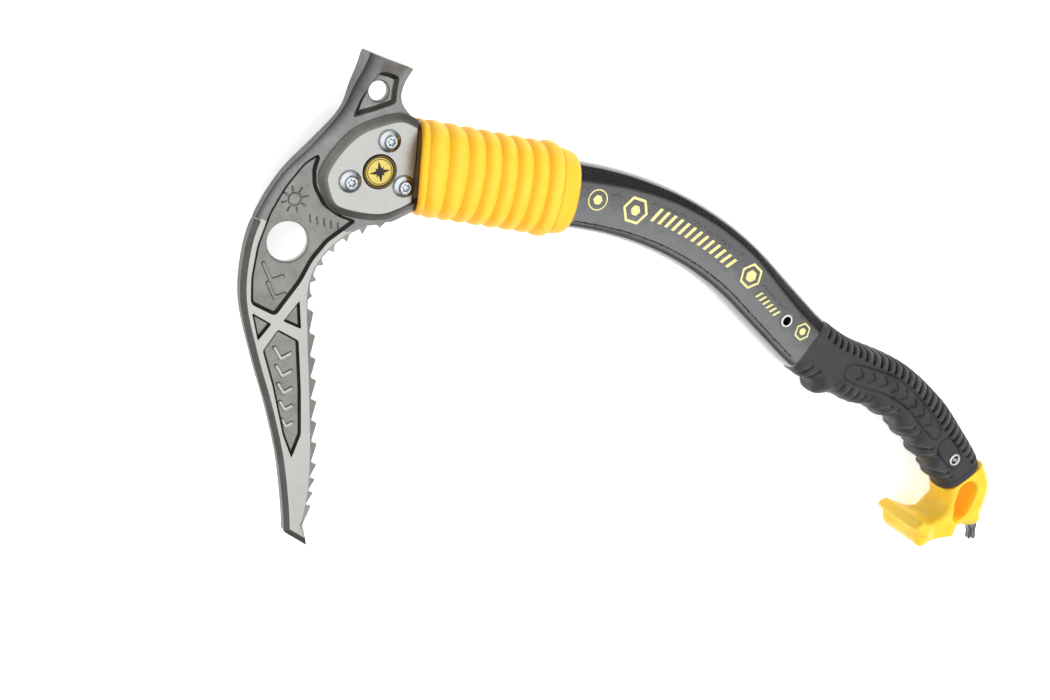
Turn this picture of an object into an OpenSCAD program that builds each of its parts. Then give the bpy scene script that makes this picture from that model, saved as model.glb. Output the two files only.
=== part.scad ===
// Technical ice axe with a bent shaft, lying on its side.
// It is drawn on its own mid-plane: X runs from the head along the upper shaft, Y points to the
// hammer, and Z is the thickness. place() then moves it so that it rests on Z = 0.

/* [Head] */
// Thickness of the ground flats of the pick
land_t = 7; // [6:0.5:8]
// Thickness of the toothed edge
blade_t = 4.6; // [4:0.2:5.4]
// Depth of the forged pockets, each side
pocket_d = 1.4; // [0.8:0.1:1.6]
// Width of the hammer's striking face at the spine
hammer_w = 22; // [18:1:24]
// Radius of the carabiner hole in the pick
pick_hole_r = 9.4; // [8:0.1:9.6]
// Radius of the hole in the hammer
hammer_hole_r = 4.6; // [4:0.1:5]
// Thickness of each cheek plate
cheek_t = 3.2; // [3:0.1:3.6]
// Width of the cheek plate's bevel
cheek_bevel = 2.4; // [1.5:0.1:2.6]

/* [Shaft] */
// Width of the shaft tube in the plane of the axe
tube_w = 32.4; // [31:0.2:33]
// Thickness of the shaft tube
tube_t = 20; // [19:0.5:21]
// Wall of the shaft tube
wall = 2.2; // [1.6:0.1:2.4]
// Width of the tube inside the lower grip
neck_w = 25.6; // [25:0.2:26]
// Thickness of the tube inside the lower grip
neck_t = 17.4; // [17:0.2:17.8]

/* [Grips] */
// Number of full ribs on the upper grip
sleeve_ribs = 7; // [5:1:7]
// Pitch of the ribs on the upper grip
rib_pitch = 8.25; // [8:0.05:8.3]
// Half thickness of the upper grip over a rib
rib_r = 16.6; // [16.2:0.1:17]
// Half thickness of the upper grip between ribs
valley_r = 15.4; // [15:0.1:15.8]
// Width of the lower grip at its middle
grip_w = 30; // [29.6:0.2:30.4]
// Thickness of the lower grip
grip_t = 24; // [23.6:0.2:24.4]
// Number of crescent ribs on the back of the lower grip
back_ribs = 27; // [22:1:30]

/* [Pommel] */
// Width of the horn across its lip
horn_w = 38; // [34:1:40]
// Thickness of the pommel's heel
heel_t = 24; // [23:0.5:25]
// Diameter of the spike's shank
spike_d = 6.6; // [6:0.2:7]

/* [Fasteners] */
// Diameter of the pick bolts
bolt_d = 6; // [5:0.5:6]
// Diameter of the bolt heads
bolt_head_d = 10.5; // [10:0.1:11]
// Bore radius of the eyelets
eyelet_r = 2.35; // [2.2:0.05:2.5]

/* [Hidden] */
$fn = 64;
fit = 0.05;   // clearance between pieces that touch

// --- Shaft centreline ---
// Each piece is [length, turn in degrees]; a turn of 0 is straight and a negative turn is to the right.
SHAFT_Y = 4.9;
BENDS = [[105, 0], [113.3, -31.5], [43.4, 0], [21.3, 8.8], [28.3, 11.7], [4, 0], [120.1, -36.5]];
TUBE_START = 20;
NECK = 273.5;      // where the tube starts to narrow for the lower grip
NECK_RAMP = 7;
GRIP_START = 272.5;
GRIP_END = 427.5;
TUBE_END = 427.4;
EYELETS = [249, 414];
EYELET_DY = [0, -2];

function bend_start(i) = i == 0 ? 0 : bend_start(i - 1) + BENDS[i - 1][0];
function arc_r(len, turn) = len * 180 / (PI * abs(turn));
function step(p, len, turn) =
    turn == 0
        ? [p[0] + len * cos(p[2]), p[1] + len * sin(p[2]), p[2]]
        : let (r = arc_r(len, turn), s = sign(turn), d = p[2] + turn)
            [p[0] + s * r * (sin(d) - sin(p[2])), p[1] - s * r * (cos(d) - cos(p[2])), d];
function bend_pose(i) =
    i == 0 ? [0, SHAFT_Y, 0] : step(bend_pose(i - 1), BENDS[i - 1][0], BENDS[i - 1][1]);
function which(s, i = 0) = i == len(BENDS) - 1 || s < bend_start(i + 1) ? i : which(s, i + 1);
function pose(s) =
    let (i = which(s), a = s - bend_start(i))
    step(bend_pose(i), a, BENDS[i][1] * a / BENDS[i][0]);

// --- Curves ---
function spline(a, b, c, d, t) =
    0.5 * (2 * b + (c - a) * t + (2 * a - 5 * b + 4 * c - d) * t * t
        + (3 * b - a - 3 * c + d) * t * t * t);
// Open curve through the points, with n steps between each pair
function curve(p, n = 4) = [
    for (i = [0 : len(p) - 2], k = [0 : n - 1])
        spline(p[max(i - 1, 0)], p[i], p[i + 1], p[min(i + 2, len(p) - 1)], k / n),
    p[len(p) - 1]
];
// Closed curve through the points
function loop_curve(p, n = 3) = let (m = len(p)) [
    for (i = [0 : m - 1], k = [0 : n - 1])
        spline(p[(i + m - 1) % m], p[i], p[(i + 1) % m], p[(i + 2) % m], k / n)
];
function reversed(p) = [for (i = [len(p) - 1 : -1 : 0]) p[i]];
function blend(a, b, t) = a + (b - a) * t;

function ramp(s, s0, s1) = let (t = max(0, min(1, (s - s0) / (s1 - s0)))) t * t * (3 - 2 * t);

// --- Sections: superellipses, with half width a, half thickness b and power p ---
SIDES = 24;
TUBE_P = 3.2;
GRIP_P = 2.5;
function power(c, p) = sign(c) * pow(abs(c), 2 / p);
function section(a, b, p) = [
    for (k = [0 : SIDES - 1]) let (f = 360 * (k + 0.5) / SIDES) [a * power(cos(f), p), b * power(sin(f), p)]
];
// A section [sideways, up] stood across the centreline at distance s
function ring(s, points) = let (q = pose(s)) [
    for (v = points) [q[0] - v[0] * sin(q[2]), q[1] + v[0] * cos(q[2]), v[1]]
];
function tube_ring(s, grow) = let (t = ramp(s, NECK, NECK + NECK_RAMP)) ring(s, section(
    blend(tube_w, neck_w, t) / 2 + grow, blend(tube_t, neck_t, t) / 2 + grow, TUBE_P));
// Distances along the centreline at which rings are needed: the ends and each few degrees of bend
BEND_STEP = 3;
function stations(s0, s1) = concat([s0], [
    for (i = [0 : len(BENDS) - 1])
        let (n = max(1, ceil(abs(BENDS[i][1]) / BEND_STEP)))
            for (k = [0 : n - 1])
                let (s = bend_start(i) + BENDS[i][0] * k / n)
                    if (s > s0 + 1 && s < s1 - 1) s
], [s1]);

// --- Pick and hammer outline ---
HAMMER_TOP = 52;
// Spine from the hammer's face to the pick's tip
SPINE = curve([[-17, HAMMER_TOP], [-17.7, 45.5], [-20.2, 36.5], [-23.5, 24], [-33.5, 8.5], [-45, -7.5],
    [-52.2, -25.5], [-55, -43], [-52.5, -67], [-42, -93], [-30, -118], [-20, -142],
    [-12.8, -165], [-9, -180]], 3);
TIP = [3.6, -186.5];
// Rear edge of the hammer, down to the cheek
HAMMER_REAR = curve([[3.3, 47.6], [1.3, 43], [1, 37], [2.6, 32.5], [7, 28.5], [13, 24.6]], 3);
// Where the pick ends inside the upper grip
PICK_BUTT = 19.5;
// Toothed side of the pick's flats, from the butt to the tip, at the roots of the teeth
ROOTS = curve([[PICK_BUTT, -14.8], [16, -18.3], [10.5, -21.8], [2.4, -24.1], [-6, -28], [-14, -35.4],
    [-20, -45], [-22, -58], [-18.2, -77], [-9.9, -111.4], [-3.4, -141], [-0.9, -160],
    [-0.8, -175.8]], 3);
SMALL_TEETH = [[4.4, -25.6], [-2.6, -29.6], [-8.5, -34.2], [-13.8, -38.9], [-17.2, -45.9],
    [-19, -53.1], [-19.8, -60.9]];
BIG_TEETH = [[-17.8, -68.3], [-14.4, -79.6], [-11.9, -91.3], [-9.3, -101.1], [-7, -111.7],
    [-4.6, -123], [-2.5, -133.2], [-0.3, -143.5], [0.5, -151.9], [0.8, -158.2], [1.1, -166.6]];
SMALL_ROOT = [-2.2, 0.6];
BIG_ROOT = [-3.2, 1.9];
function teeth(tips, root) = [for (t = tips) each [t + root, t]];

// The spine's flank stands this far proud where it meets the flats
RIM_BEAD = 0.12;
// Half thickness of the spine's outer edge, which swells towards the hammer
SPINE_EDGE = 2.7;
function spine_half(p) =
    let (t = max(0, min(1, (p[1] + 12) / (HAMMER_TOP + 12))))
    blend(SPINE_EDGE, hammer_w / 2, t * t * (1.6 - 0.6 * t));
// Where the spine's flank meets the flats: across the hammer at the top, a narrow bevel below
RIM_W = 2.6;
RIM_LAP = 0.6;      // the flats run this far under the bevel
HAMMER_FLANK = 20.5;
function rim_width(p) =
    let (t = max(0, min(1, (p[1] - 2) / (HAMMER_TOP - 2))))
    blend(RIM_W, HAMMER_FLANK, pow(t, 1.4));
function tangent(p, i) = let (d = p[min(i + 1, len(p) - 1)] - p[max(i - 1, 0)]) d / norm(d);
function inward(d) = [-d[1], d[0]];

// Triangles between rings of m points, for n rings
function ring_faces(n, m) = [
    for (i = [0 : n - 2], k = [0 : m - 1])
        let (a = m * i + k, b = m * i + (k + 1) % m)
            each [[a, a + m, b + m], [a, b + m, b]]
];

// --- Helpers ---
module slab(z0, z1) {
    translate([0, 0, z0]) linear_extrude(z1 - z0) children();
}

module both_sides() {
    children();
    mirror([0, 0, 1]) children();
}

module at(s) {
    p = pose(s);
    translate([p[0], p[1], 0]) rotate([0, 0, p[2]]) children();
}

// A section drawn as [sideways, up], run straight along the upper shaft
module along_x(x0, x1) {
    translate([x0, SHAFT_Y, 0]) rotate([90, 0, 90]) linear_extrude(x1 - x0) children();
}

// A closed skin over rings that all have SIDES points
module skin(rings) {
    n = len(rings);
    last = SIDES * n - 1;
    polyhedron(
        points = [for (r = rings) each r],
        faces = concat([[for (k = [0 : SIDES - 1]) k]], ring_faces(n, SIDES),
            [[for (k = [0 : SIDES - 1]) last - k]]));
}

BOLTS = [[-0.9, 15.6], [-15.1, -5.4], [10.5, -3.7]];
module bolt_places() {
    for (p = BOLTS) translate(p) children();
}

// --- Head ---
// Spine rim: a four-sided section whose outer edge follows the spine
module spine_rim() {
    n = len(SPINE);
    half = land_t / 2 + RIM_BEAD;
    rings = [for (i = [0 : n - 1])
        let (p = SPINE[i], d = tangent(SPINE, i), q = p + inward(d) * rim_width(p), w = spine_half(p))
        [[p[0], p[1], -w], [q[0], q[1], -half], [q[0], q[1], half], [p[0], p[1], w]]];
    polyhedron(
        points = [for (r = rings) each r],
        faces = concat([[0, 1, 2], [0, 2, 3]], ring_faces(n, 4),
            [[4 * n - 1, 4 * n - 2, 4 * n - 3], [4 * n - 1, 4 * n - 3, 4 * n - 4]]));
}

module land_outline() {
    n = len(SPINE);
    inner = [for (i = [1 : n - 1]) SPINE[i] + inward(tangent(SPINE, i)) * (RIM_W - RIM_LAP)];
    polygon(concat(inner, [TIP + [-2.6, 3.4]], reversed(ROOTS), [[PICK_BUTT, 21]],
        reversed(HAMMER_REAR)));
}

module blade_outline() {
    polygon(concat(
        [for (i = [6 : len(SPINE) - 1]) SPINE[i] + inward(tangent(SPINE, i)) * 0.4],
        [TIP, [1.4, -180.5], [-0.4, -175]],
        reversed(concat(teeth(SMALL_TEETH, SMALL_ROOT), teeth(BIG_TEETH, BIG_ROOT))),
        [[10, -21]]));
}

UPPER_POCKET = [[-31.8, 3.6], [-29.9, -1.5], [-32.1, -6.4], [-29.8, -13.5], [-25.2, -19.2],
    [-17, -22.5], [-7.4, -23.6], [-10.5, -27.4], [-18, -35], [-23.3, -44.5], [-26.5, -55],
    [-35.2, -72.6], [-47.6, -68.3], [-49.8, -56.2], [-50, -41], [-47.4, -25.3], [-42.8, -12.5],
    [-36.6, -1.2]];
LOWER_POCKET = [[-32.7, -78.6], [-22, -82.9], [-15.9, -106.9], [-11.3, -128.8], [-13.4, -141.4],
    [-20, -130], [-30, -105.8], [-37.8, -89.6]];
TRIANGLES = [[[-45.4, -73.5], [-37.2, -76.8], [-41, -83.8]], [[-26, -65.4], [-30, -74.2], [-22.9, -76.6]]];
HAMMER_POCKET = [[-12.5, 44.6], [-1.4, 43.6], [-0.6, 37.4], [-0.3, 31.4], [-11.6, 27], [-18.6, 23.4],
    [-17.6, 33]];
PICK_HOLE = [-36.2, -37.8];
HAMMER_HOLE = [-9.2, 35.8];

module pick() color("dimgray") {
    web = land_t / 2 - pocket_d;
    difference() {
        union() {
            spine_rim();
            slab(-land_t / 2, land_t / 2) land_outline();
            slab(-blade_t / 2, blade_t / 2) blade_outline();
        }
        both_sides() slab(web, land_t) {
            polygon(UPPER_POCKET);
            polygon(LOWER_POCKET);
            for (t = TRIANGLES) polygon(t);
        }
        both_sides() slab(web, hammer_w) polygon(HAMMER_POCKET);
        translate(PICK_HOLE) cylinder(r = pick_hole_r, h = 2 * hammer_w, center = true);
        translate(HAMMER_HOLE) cylinder(r = hammer_hole_r, h = 2 * hammer_w, center = true);
        bolt_places() cylinder(d = bolt_d + 0.2, h = 2 * hammer_w, center = true);
    }
}

// Cheek plates clamp the pick and run back inside the shaft
CHEEK = loop_curve([[12, 26.6], [3, 28.3], [-7, 24.6], [-17, 18.3], [-24.4, 8.4], [-29, -3.6],
    [-26.6, -12.2], [-20.6, -19.8], [-9, -22], [4, -21.2], [13.6, -16.4], [19, -12]], 3);
CHEEK_TAIL_W = 20;
CHEEK_TAIL_DROP = 0.4;      // the tail is this much thinner than the plate
CHEEK_END = 58;
BADGE_R = 7.8;
BADGE_RIM = 1.3;
BADGE_DEPTH = 1.2;      // depth of the badge's seat in the cheek plate
BADGE_AT = [-2.3, 1.1];

// A plate with a bevelled rim around its middle point
module bevelled(outline, z0, z1, bevel) {
    n = len(outline);
    mid = [-4, 2];
    top = [for (p = outline) p - (p - mid) / norm(p - mid) * bevel];
    polyhedron(
        points = concat(
            [for (p = outline) [p[0], p[1], z0]],
            [for (p = outline) [p[0], p[1], z1 - bevel]],
            [for (p = top) [p[0], p[1], z1]]),
        faces = [
            [for (i = [0 : n - 1]) i],
            each ring_faces(3, n),
            [for (i = [n - 1 : -1 : 0]) 2 * n + i]
        ]);
}

module cheek() {
    z0 = land_t / 2 + fit;
    z1 = z0 + cheek_t;
    difference() {
        union() {
            bevelled(CHEEK, z0, z1, cheek_bevel);
            slab(z0, z1 - CHEEK_TAIL_DROP) translate([8, SHAFT_Y - CHEEK_TAIL_W / 2])
                square([CHEEK_END - 8, CHEEK_TAIL_W]);
        }
        bolt_places() cylinder(d = bolt_d + 0.2, h = 2 * z1, center = true);
        slab(z1 - BADGE_DEPTH, z1 + 1) translate(BADGE_AT) circle(BADGE_R);
        head_pin_places() cylinder(d = PIN_D + 0.05, h = 4 * z1, center = true);
    }
}

module cheek_front() color("silver") cheek();

module cheek_rear() color("silver") mirror([0, 0, 1]) cheek();

BOLT_TOP = land_t / 2 + fit + cheek_t;
HEAD_H = 3.3;
HEAD_DOME = 7.2;
HEX_R = 2.3;
NUT_H = 3;
BOLT_TAIL = 2.2;      // length of shank inside the nut

module pick_bolts() color("lightgray") {
    bolt_places() difference() {
        union() {
            translate([0, 0, -BOLT_TOP - BOLT_TAIL])
                cylinder(d = bolt_d, h = 2 * BOLT_TOP + BOLT_TAIL + 0.1);
            intersection() {
                translate([0, 0, BOLT_TOP + fit]) cylinder(d = bolt_head_d, h = HEAD_H);
                translate([0, 0, BOLT_TOP + HEAD_H - HEAD_DOME]) sphere(HEAD_DOME);
            }
        }
        translate([0, 0, BOLT_TOP + 1.3]) cylinder(r = HEX_R, h = HEAD_H, $fn = 6);
    }
}

module pick_nuts() color("lightgray") {
    bolt_places() difference() {
        translate([0, 0, -BOLT_TOP - fit - NUT_H]) cylinder(d = bolt_head_d, h = NUT_H);
        translate([0, 0, -2 * BOLT_TOP]) cylinder(d = bolt_d + 0.1, h = 2 * BOLT_TOP);
    }
}

module badge() {
    translate([BADGE_AT[0], BADGE_AT[1], BOLT_TOP - BADGE_DEPTH + fit]) difference() {
        cylinder(r = BADGE_R - fit, h = BADGE_DEPTH + 0.1);
        translate([0, 0, 0.8]) cylinder(r = BADGE_R - BADGE_RIM, h = 1);
    }
}

module badge_front() color("gold") badge();

module badge_rear() color("gold") mirror([0, 0, 1]) badge();

LENS_SPHERE = 26;
module badge_lens() {
    intersection() {
        translate([BADGE_AT[0], BADGE_AT[1], BOLT_TOP - 0.4 + 2 * fit])
            cylinder(r = BADGE_R - BADGE_RIM - fit, h = 3);
        translate([BADGE_AT[0], BADGE_AT[1], BOLT_TOP + 1 - LENS_SPHERE])
            sphere(LENS_SPHERE, $fn = 128);
    }
}

module badge_lens_front() color("khaki", 0.5) badge_lens();

module badge_lens_rear() color("khaki", 0.5) mirror([0, 0, 1]) badge_lens();

// Aluminium block that fills the top of the tube, slotted for the cheek tails
PIN_D = 6;
BLOCK_START = 25;
BLOCK_END = 64;
HEAD_PINS_X = [33, 50];
module head_pin_places() {
    for (x = HEAD_PINS_X) translate([x, SHAFT_Y]) children();
}

module head_block() color("lightgray") {
    slot = cheek_t - CHEEK_TAIL_DROP + 2 * fit;
    difference() {
        along_x(BLOCK_START, BLOCK_END)
            polygon(section(tube_w / 2 - wall - fit, tube_t / 2 - wall - fit, TUBE_P));
        both_sides() translate([0, SHAFT_Y - CHEEK_TAIL_W / 2 - fit, land_t / 2])
            cube([CHEEK_END + fit, CHEEK_TAIL_W + 2 * fit, slot]);
        head_pin_places() cylinder(d = PIN_D + 0.05, h = tube_t, center = true);
    }
}

module head_pins() color("silver") {
    head_pin_places() cylinder(d = PIN_D, h = tube_t - 0.2, center = true);
}

// --- Shaft ---
module tube_solid(s0, s1, grow) {
    skin([for (s = stations(s0, s1)) tube_ring(s, grow)]);
}

module shaft_tube() color("#2b2d30") {
    difference() {
        tube_solid(TUBE_START, TUBE_END, 0);
        tube_solid(TUBE_START - 2, TUBE_END + 2, -wall);
        head_pin_places() cylinder(d = PIN_D + 0.05, h = 2 * tube_t, center = true);
        eyelet_places() cylinder(r = BARREL_R + fit, h = 2 * tube_t, center = true);
    }
}

// --- Upper grip ---
SLEEVE_START = 16.3;
SLEEVE_SLANT = 6;
COLLAR_START = 86.6;
COLLAR_END = 97.4;
HEAD_W = 46;      // room inside for the cheeks and the butt of the pick
STADIUM = 5.7;   // half of the straight part of the section

// A solid of stadium section whose radius along X follows a profile of [x, radius]
module stadium(profile) {
    ends = [[profile[len(profile) - 1][0], 0], [profile[0][0], 0]];
    translate([0, SHAFT_Y, 0]) {
        for (s = [-1, 1]) translate([0, s * STADIUM, 0]) rotate([0, 90, 0])
            rotate_extrude() polygon([for (p = concat(profile, ends)) [p[1], p[0]]]);
        rotate([90, 0, 0]) linear_extrude(2 * STADIUM, center = true)
            polygon(concat(profile, [for (p = reversed(profile)) [p[0], -p[1]]]));
    }
}

RIB_STEPS = 6;
FIRST_RIB = 20.3;
LAST_RIB = FIRST_RIB + sleeve_ribs * rib_pitch;
function rib_profile() = [
    [SLEEVE_START - 4, valley_r],
    [FIRST_RIB - 2.6, rib_r - 0.3],
    for (i = [0 : sleeve_ribs - 1], k = [0 : RIB_STEPS - 1])
        [FIRST_RIB + (i + k / RIB_STEPS) * rib_pitch,
            valley_r + (rib_r - valley_r) * pow(sin(180 * k / RIB_STEPS), 0.7)],
    [LAST_RIB, valley_r + 0.2], [LAST_RIB + 2, rib_r + 0.5], [LAST_RIB + 5, rib_r + 0.9],
    [COLLAR_START - 1.4, rib_r + 0.3], [COLLAR_START, rib_r - 0.9]
];

module tube_bore(x0, x1) {
    along_x(x0, x1) polygon(section(tube_w / 2 + fit, tube_t / 2 + fit, TUBE_P));
}

module upper_grip() color("goldenrod") {
    difference() {
        stadium(rib_profile());
        tube_bore(TUBE_START - 0.01, COLLAR_START + 1);
        translate([0, SHAFT_Y, 0]) cube([2 * TUBE_START, HEAD_W, 2 * BOLT_TOP + 1], center = true);
        translate([SLEEVE_START, SHAFT_Y, 0]) rotate([0, 0, SLEEVE_SLANT])
            translate([-20, 0, 0]) cube([40, 80, 60], center = true);
    }
}

module upper_grip_collar() color("goldenrod") {
    difference() {
        stadium([[COLLAR_START + fit, rib_r - 1.6], [COLLAR_END - 4, rib_r - 2.2],
            [COLLAR_END - 1.2, rib_r - 3], [COLLAR_END, rib_r - 4.2]]);
        tube_bore(COLLAR_START, COLLAR_END + 1);
    }
}

// --- Lower grip ---
// Its section grows by ribs on the back, and by ridges and a finger ledge on the other side
GRIP_FLARE = 1.5;      // extra half width where it meets the bare shaft
FLARE_S = [280, 310];
RIB_H = 0.8;
RIB_SHAPE = [0, 1, 0.55];
RIDGE_H = 1.2;
SWELLS = [[316, 12], [347, 9], [373, 9], [399, 9], [418, 7]];
LEDGE = [290, 296, 311];
LEDGE_H = 5.6;
function swell(s) = max([for (w = SWELLS) abs(s - w[0]) < w[1] / 2 ? 1 : 0]);
function ledge(s) = s < LEDGE[1] ? ramp(s, LEDGE[0], LEDGE[1]) : 1 - ramp(s, LEDGE[1], LEDGE[2]);
function grip_ring(s, rib) =
    let (a = grip_w / 2 + GRIP_FLARE * (1 - ramp(s, FLARE_S[0], FLARE_S[1]))
            - 0.7 * ramp(s, 340, GRIP_END),
        b = blend(tube_t / 2 + 0.2, grip_t / 2, ramp(s, GRIP_START, FLARE_S[1])))
    ring(s, [for (v = section(a, b, GRIP_P))
        let (back = ramp(v[0], a * 0.2, a * 0.5), finger = ramp(-v[0], a * 0.2, a * 0.7))
            [v[0] + back * rib - finger * (RIDGE_H * swell(s) + LEDGE_H * ledge(s)),
                v[1] * (1 + back * rib / b)]]);

module lower_grip() color("#3a3a3c") {
    first = GRIP_START + 6;
    pitch = (GRIP_END - 3 - first) / back_ribs;
    m = len(RIB_SHAPE);
    difference() {
        skin(concat(
            [grip_ring(GRIP_START, 0)],
            [for (i = [0 : back_ribs - 1], k = [0 : m - 1])
                grip_ring(first + (i + k / m) * pitch, RIB_H * RIB_SHAPE[k])],
            [grip_ring(GRIP_END - 3, 0), grip_ring(GRIP_END, 0)]));
        tube_solid(GRIP_START - 2, GRIP_END + 2, fit);
        eyelet_places() cylinder(r = BARREL_R + fit, h = 2 * tube_t, center = true);
    }
}

// --- Eyelets: tubular rivets, each with a flange in front and a washer behind ---
BARREL_R = eyelet_r + 0.5;
FLANGE_R = 3.85;
EYELET_Z = [tube_t / 2, grip_t / 2];

module eyelet_places() {
    for (i = [0, 1]) at(EYELETS[i]) translate([0, EYELET_DY[i], 0]) children();
}

module eyelet(i) {
    z = EYELET_Z[i];
    at(EYELETS[i]) translate([0, EYELET_DY[i], 0]) rotate_extrude() polygon([
        [eyelet_r, -z - 1], [BARREL_R, -z - 1], [BARREL_R, z + fit], [FLANGE_R, z + fit],
        [FLANGE_R, z + 0.5], [FLANGE_R - 0.6, z + 0.95], [eyelet_r + 0.5, z + 0.95], [eyelet_r, z + 0.5]
    ]);
}

module eyelet_washer(i) {
    z = EYELET_Z[i];
    at(EYELETS[i]) translate([0, EYELET_DY[i], 0]) rotate_extrude() polygon([
        [BARREL_R + fit, -z - fit], [FLANGE_R, -z - fit], [FLANGE_R, -z - 0.5],
        [FLANGE_R - 0.5, -z - 0.9], [BARREL_R + fit, -z - 0.9]
    ]);
}

module upper_eyelet() color("silver") eyelet(0);

module upper_eyelet_washer() color("silver") eyelet_washer(0);

module lower_eyelet() color("silver") eyelet(1);

module lower_eyelet_washer() color("silver") eyelet_washer(1);

// --- Pommel ---
SADDLE = curve([[372, -118], [386.4, -128.8], [391.8, -135.4], [395, -143], [392.4, -149.8],
    [385, -153.2], [375, -152.4], [362, -148]], 4);
BOSS = 27;
EYE = [[405.6, -129], [406.8, -142]];
EYE_R = 6.2;
LIP_TOP = [369.2, -153];
LIP_LOW = [379.4, -162.4];
TOOTH = [[396, -156], [407, -163], [412.5, -153]];
SPIKE_TOP = [418.8, -130];
SPIKE_TIP = [432.2, -165];
SPIKE_DIR = (SPIKE_TIP - SPIKE_TOP) / norm(SPIKE_TIP - SPIKE_TOP);
SPIKE_ANGLE = atan2(SPIKE_DIR[1], SPIKE_DIR[0]);
HEEL_R = heel_t / 2;

module ball(p, r, z = 0) {
    translate([p[0], p[1], z]) sphere(r, $fn = 24);
}

// The heel is blended from the end of the grip and balls of [centre, radius]
HEEL_BALLS = [[[413, -127], HEEL_R], [[401, -146], HEEL_R], [[416, -143], HEEL_R - 1.5],
    [[423, -150.5], 7.6]];
module heel() {
    neck = section(grip_w / 2 - 1, grip_t / 2 - 0.4, GRIP_P);
    hull() {
        skin([ring(GRIP_END + 0.1, neck), ring(GRIP_END + 1, neck)]);
        for (b = HEEL_BALLS) ball(b[0], b[1]);
    }
}

// The horn runs from its wide lip back into the heel
LIP_R = 2.6;
HORN_ROOT = [[400, -157], [398, -147]];
module horn() {
    z = horn_w / 2 - LIP_R;
    hull() for (s = [-1, 1]) {
        ball(LIP_TOP, LIP_R, s * z);
        ball(LIP_LOW, LIP_R, s * (z - 2));
        for (p = HORN_ROOT) ball(p, 3, s * 9);
    }
}

// Outline of a slot with round ends between points a and b
function slot(a, b, r, n = 12) = let (d = atan2(b[1] - a[1], b[0] - a[0])) concat(
    [for (k = [0 : n]) b + r * [cos(d - 90 + 180 * k / n), sin(d - 90 + 180 * k / n)]],
    [for (k = [0 : n]) a + r * [cos(d + 90 + 180 * k / n), sin(d + 90 + 180 * k / n)]]);

module along_spike() {
    translate([SPIKE_TOP[0], SPIKE_TOP[1], 0]) rotate([0, 0, SPIKE_ANGLE]) rotate([0, 90, 0]) children();
}

// Small notches down the back of the heel
HEEL_TEETH = 5;
HEEL_TOOTH = 1.6;
module pommel() color("gold") {
    difference() {
        union() {
            heel();
            horn();
            slab(-HEEL_R + 3, HEEL_R - 3) polygon(TOOTH);
            skin([for (s = [GRIP_END - BOSS, GRIP_END - BOSS / 2, GRIP_END + 3]) tube_ring(s, -wall - fit)]);
        }
        slab(-40, 40) polygon(concat(SADDLE, [[352, -123]]));
        slab(-40, 40) polygon(slot(EYE[0], EYE[1], EYE_R));
        for (i = [0 : HEEL_TEETH - 1])
            translate([430 + 0.4 * i, -136 - 4 * i]) rotate([0, 0, 30])
                cube([HEEL_TOOTH, HEEL_TOOTH, HEEL_R], center = true);
        along_spike() cylinder(d = spike_d + 2 * fit, h = 60);
        spike_pin_place() cylinder(d = SPIKE_PIN_D + 0.05, h = 60, center = true);
        at(EYELETS[1]) translate([0, EYELET_DY[1], 0]) cylinder(r = BARREL_R + fit, h = 60, center = true);
    }
}

SPIKE_PIN_D = 2.5;
SPIKE_END_R = 2.7;
module spike_pin_place() {
    translate(SPIKE_TOP + SPIKE_DIR * 10) children();
}

module spike() color("gray") {
    length = norm(SPIKE_TIP - SPIKE_TOP);
    difference() {
        along_spike() {
            difference() {
                rotate_extrude() polygon([[0, 0], [spike_d / 2, 0], [spike_d / 2, length - 7],
                    [2.5, length - 2.5], [SPIKE_END_R, length], [0, length]]);
                for (i = [0 : 5]) rotate([0, 0, 60 * i]) translate([3.4, 0, length - 8])
                    cylinder(r = 0.9, h = 9, $fn = 24);
                for (i = [0 : 2]) rotate([0, 0, 60 * i]) translate([0, 0, length])
                    rotate([0, 90, 0]) cylinder(r = 0.8, h = 8, center = true, $fn = 4);
            }
        }
        spike_pin_place() cylinder(d = SPIKE_PIN_D + 0.05, h = 60, center = true);
    }
}

module spike_pin() color("silver") {
    spike_pin_place() cylinder(d = SPIKE_PIN_D, h = 18, center = true);
}

// --- Placing: the origin goes to the middle of the outline, and the horn rests on Z = 0 ---
LEFT = min([for (p = SPINE) p[0]]);
RIGHT = SPIKE_TIP[0] - SPIKE_END_R * SPIKE_DIR[1];
ORIGIN = [(LEFT + RIGHT) / 2, (HAMMER_TOP + TIP[1]) / 2];
module place() {
    translate([-ORIGIN[0], -ORIGIN[1], horn_w / 2]) children();
}

place() pick();
place() cheek_front();
place() cheek_rear();
place() pick_bolts();
place() pick_nuts();
place() badge_front();
place() badge_rear();
place() badge_lens_front();
place() badge_lens_rear();
place() head_block();
place() head_pins();
place() shaft_tube();
place() upper_grip();
place() upper_grip_collar();
place() upper_eyelet();
place() upper_eyelet_washer();
place() lower_grip();
place() lower_eyelet();
place() lower_eyelet_washer();
place() pommel();
place() spike();
place() spike_pin();
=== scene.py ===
# Shapes and materials of the technical ice axe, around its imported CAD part.
#
# Shapes are drawn in millimetres on the axe's own mid-plane: x runs from the head along the upper shaft,
# y points to the hammer and z goes through the thickness. place() moves them into the frame.

import math

import bmesh
import bpy
import numpy as np
from mathutils import Matrix, Vector
from mathutils.geometry import delaunay_2d_cdt


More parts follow.
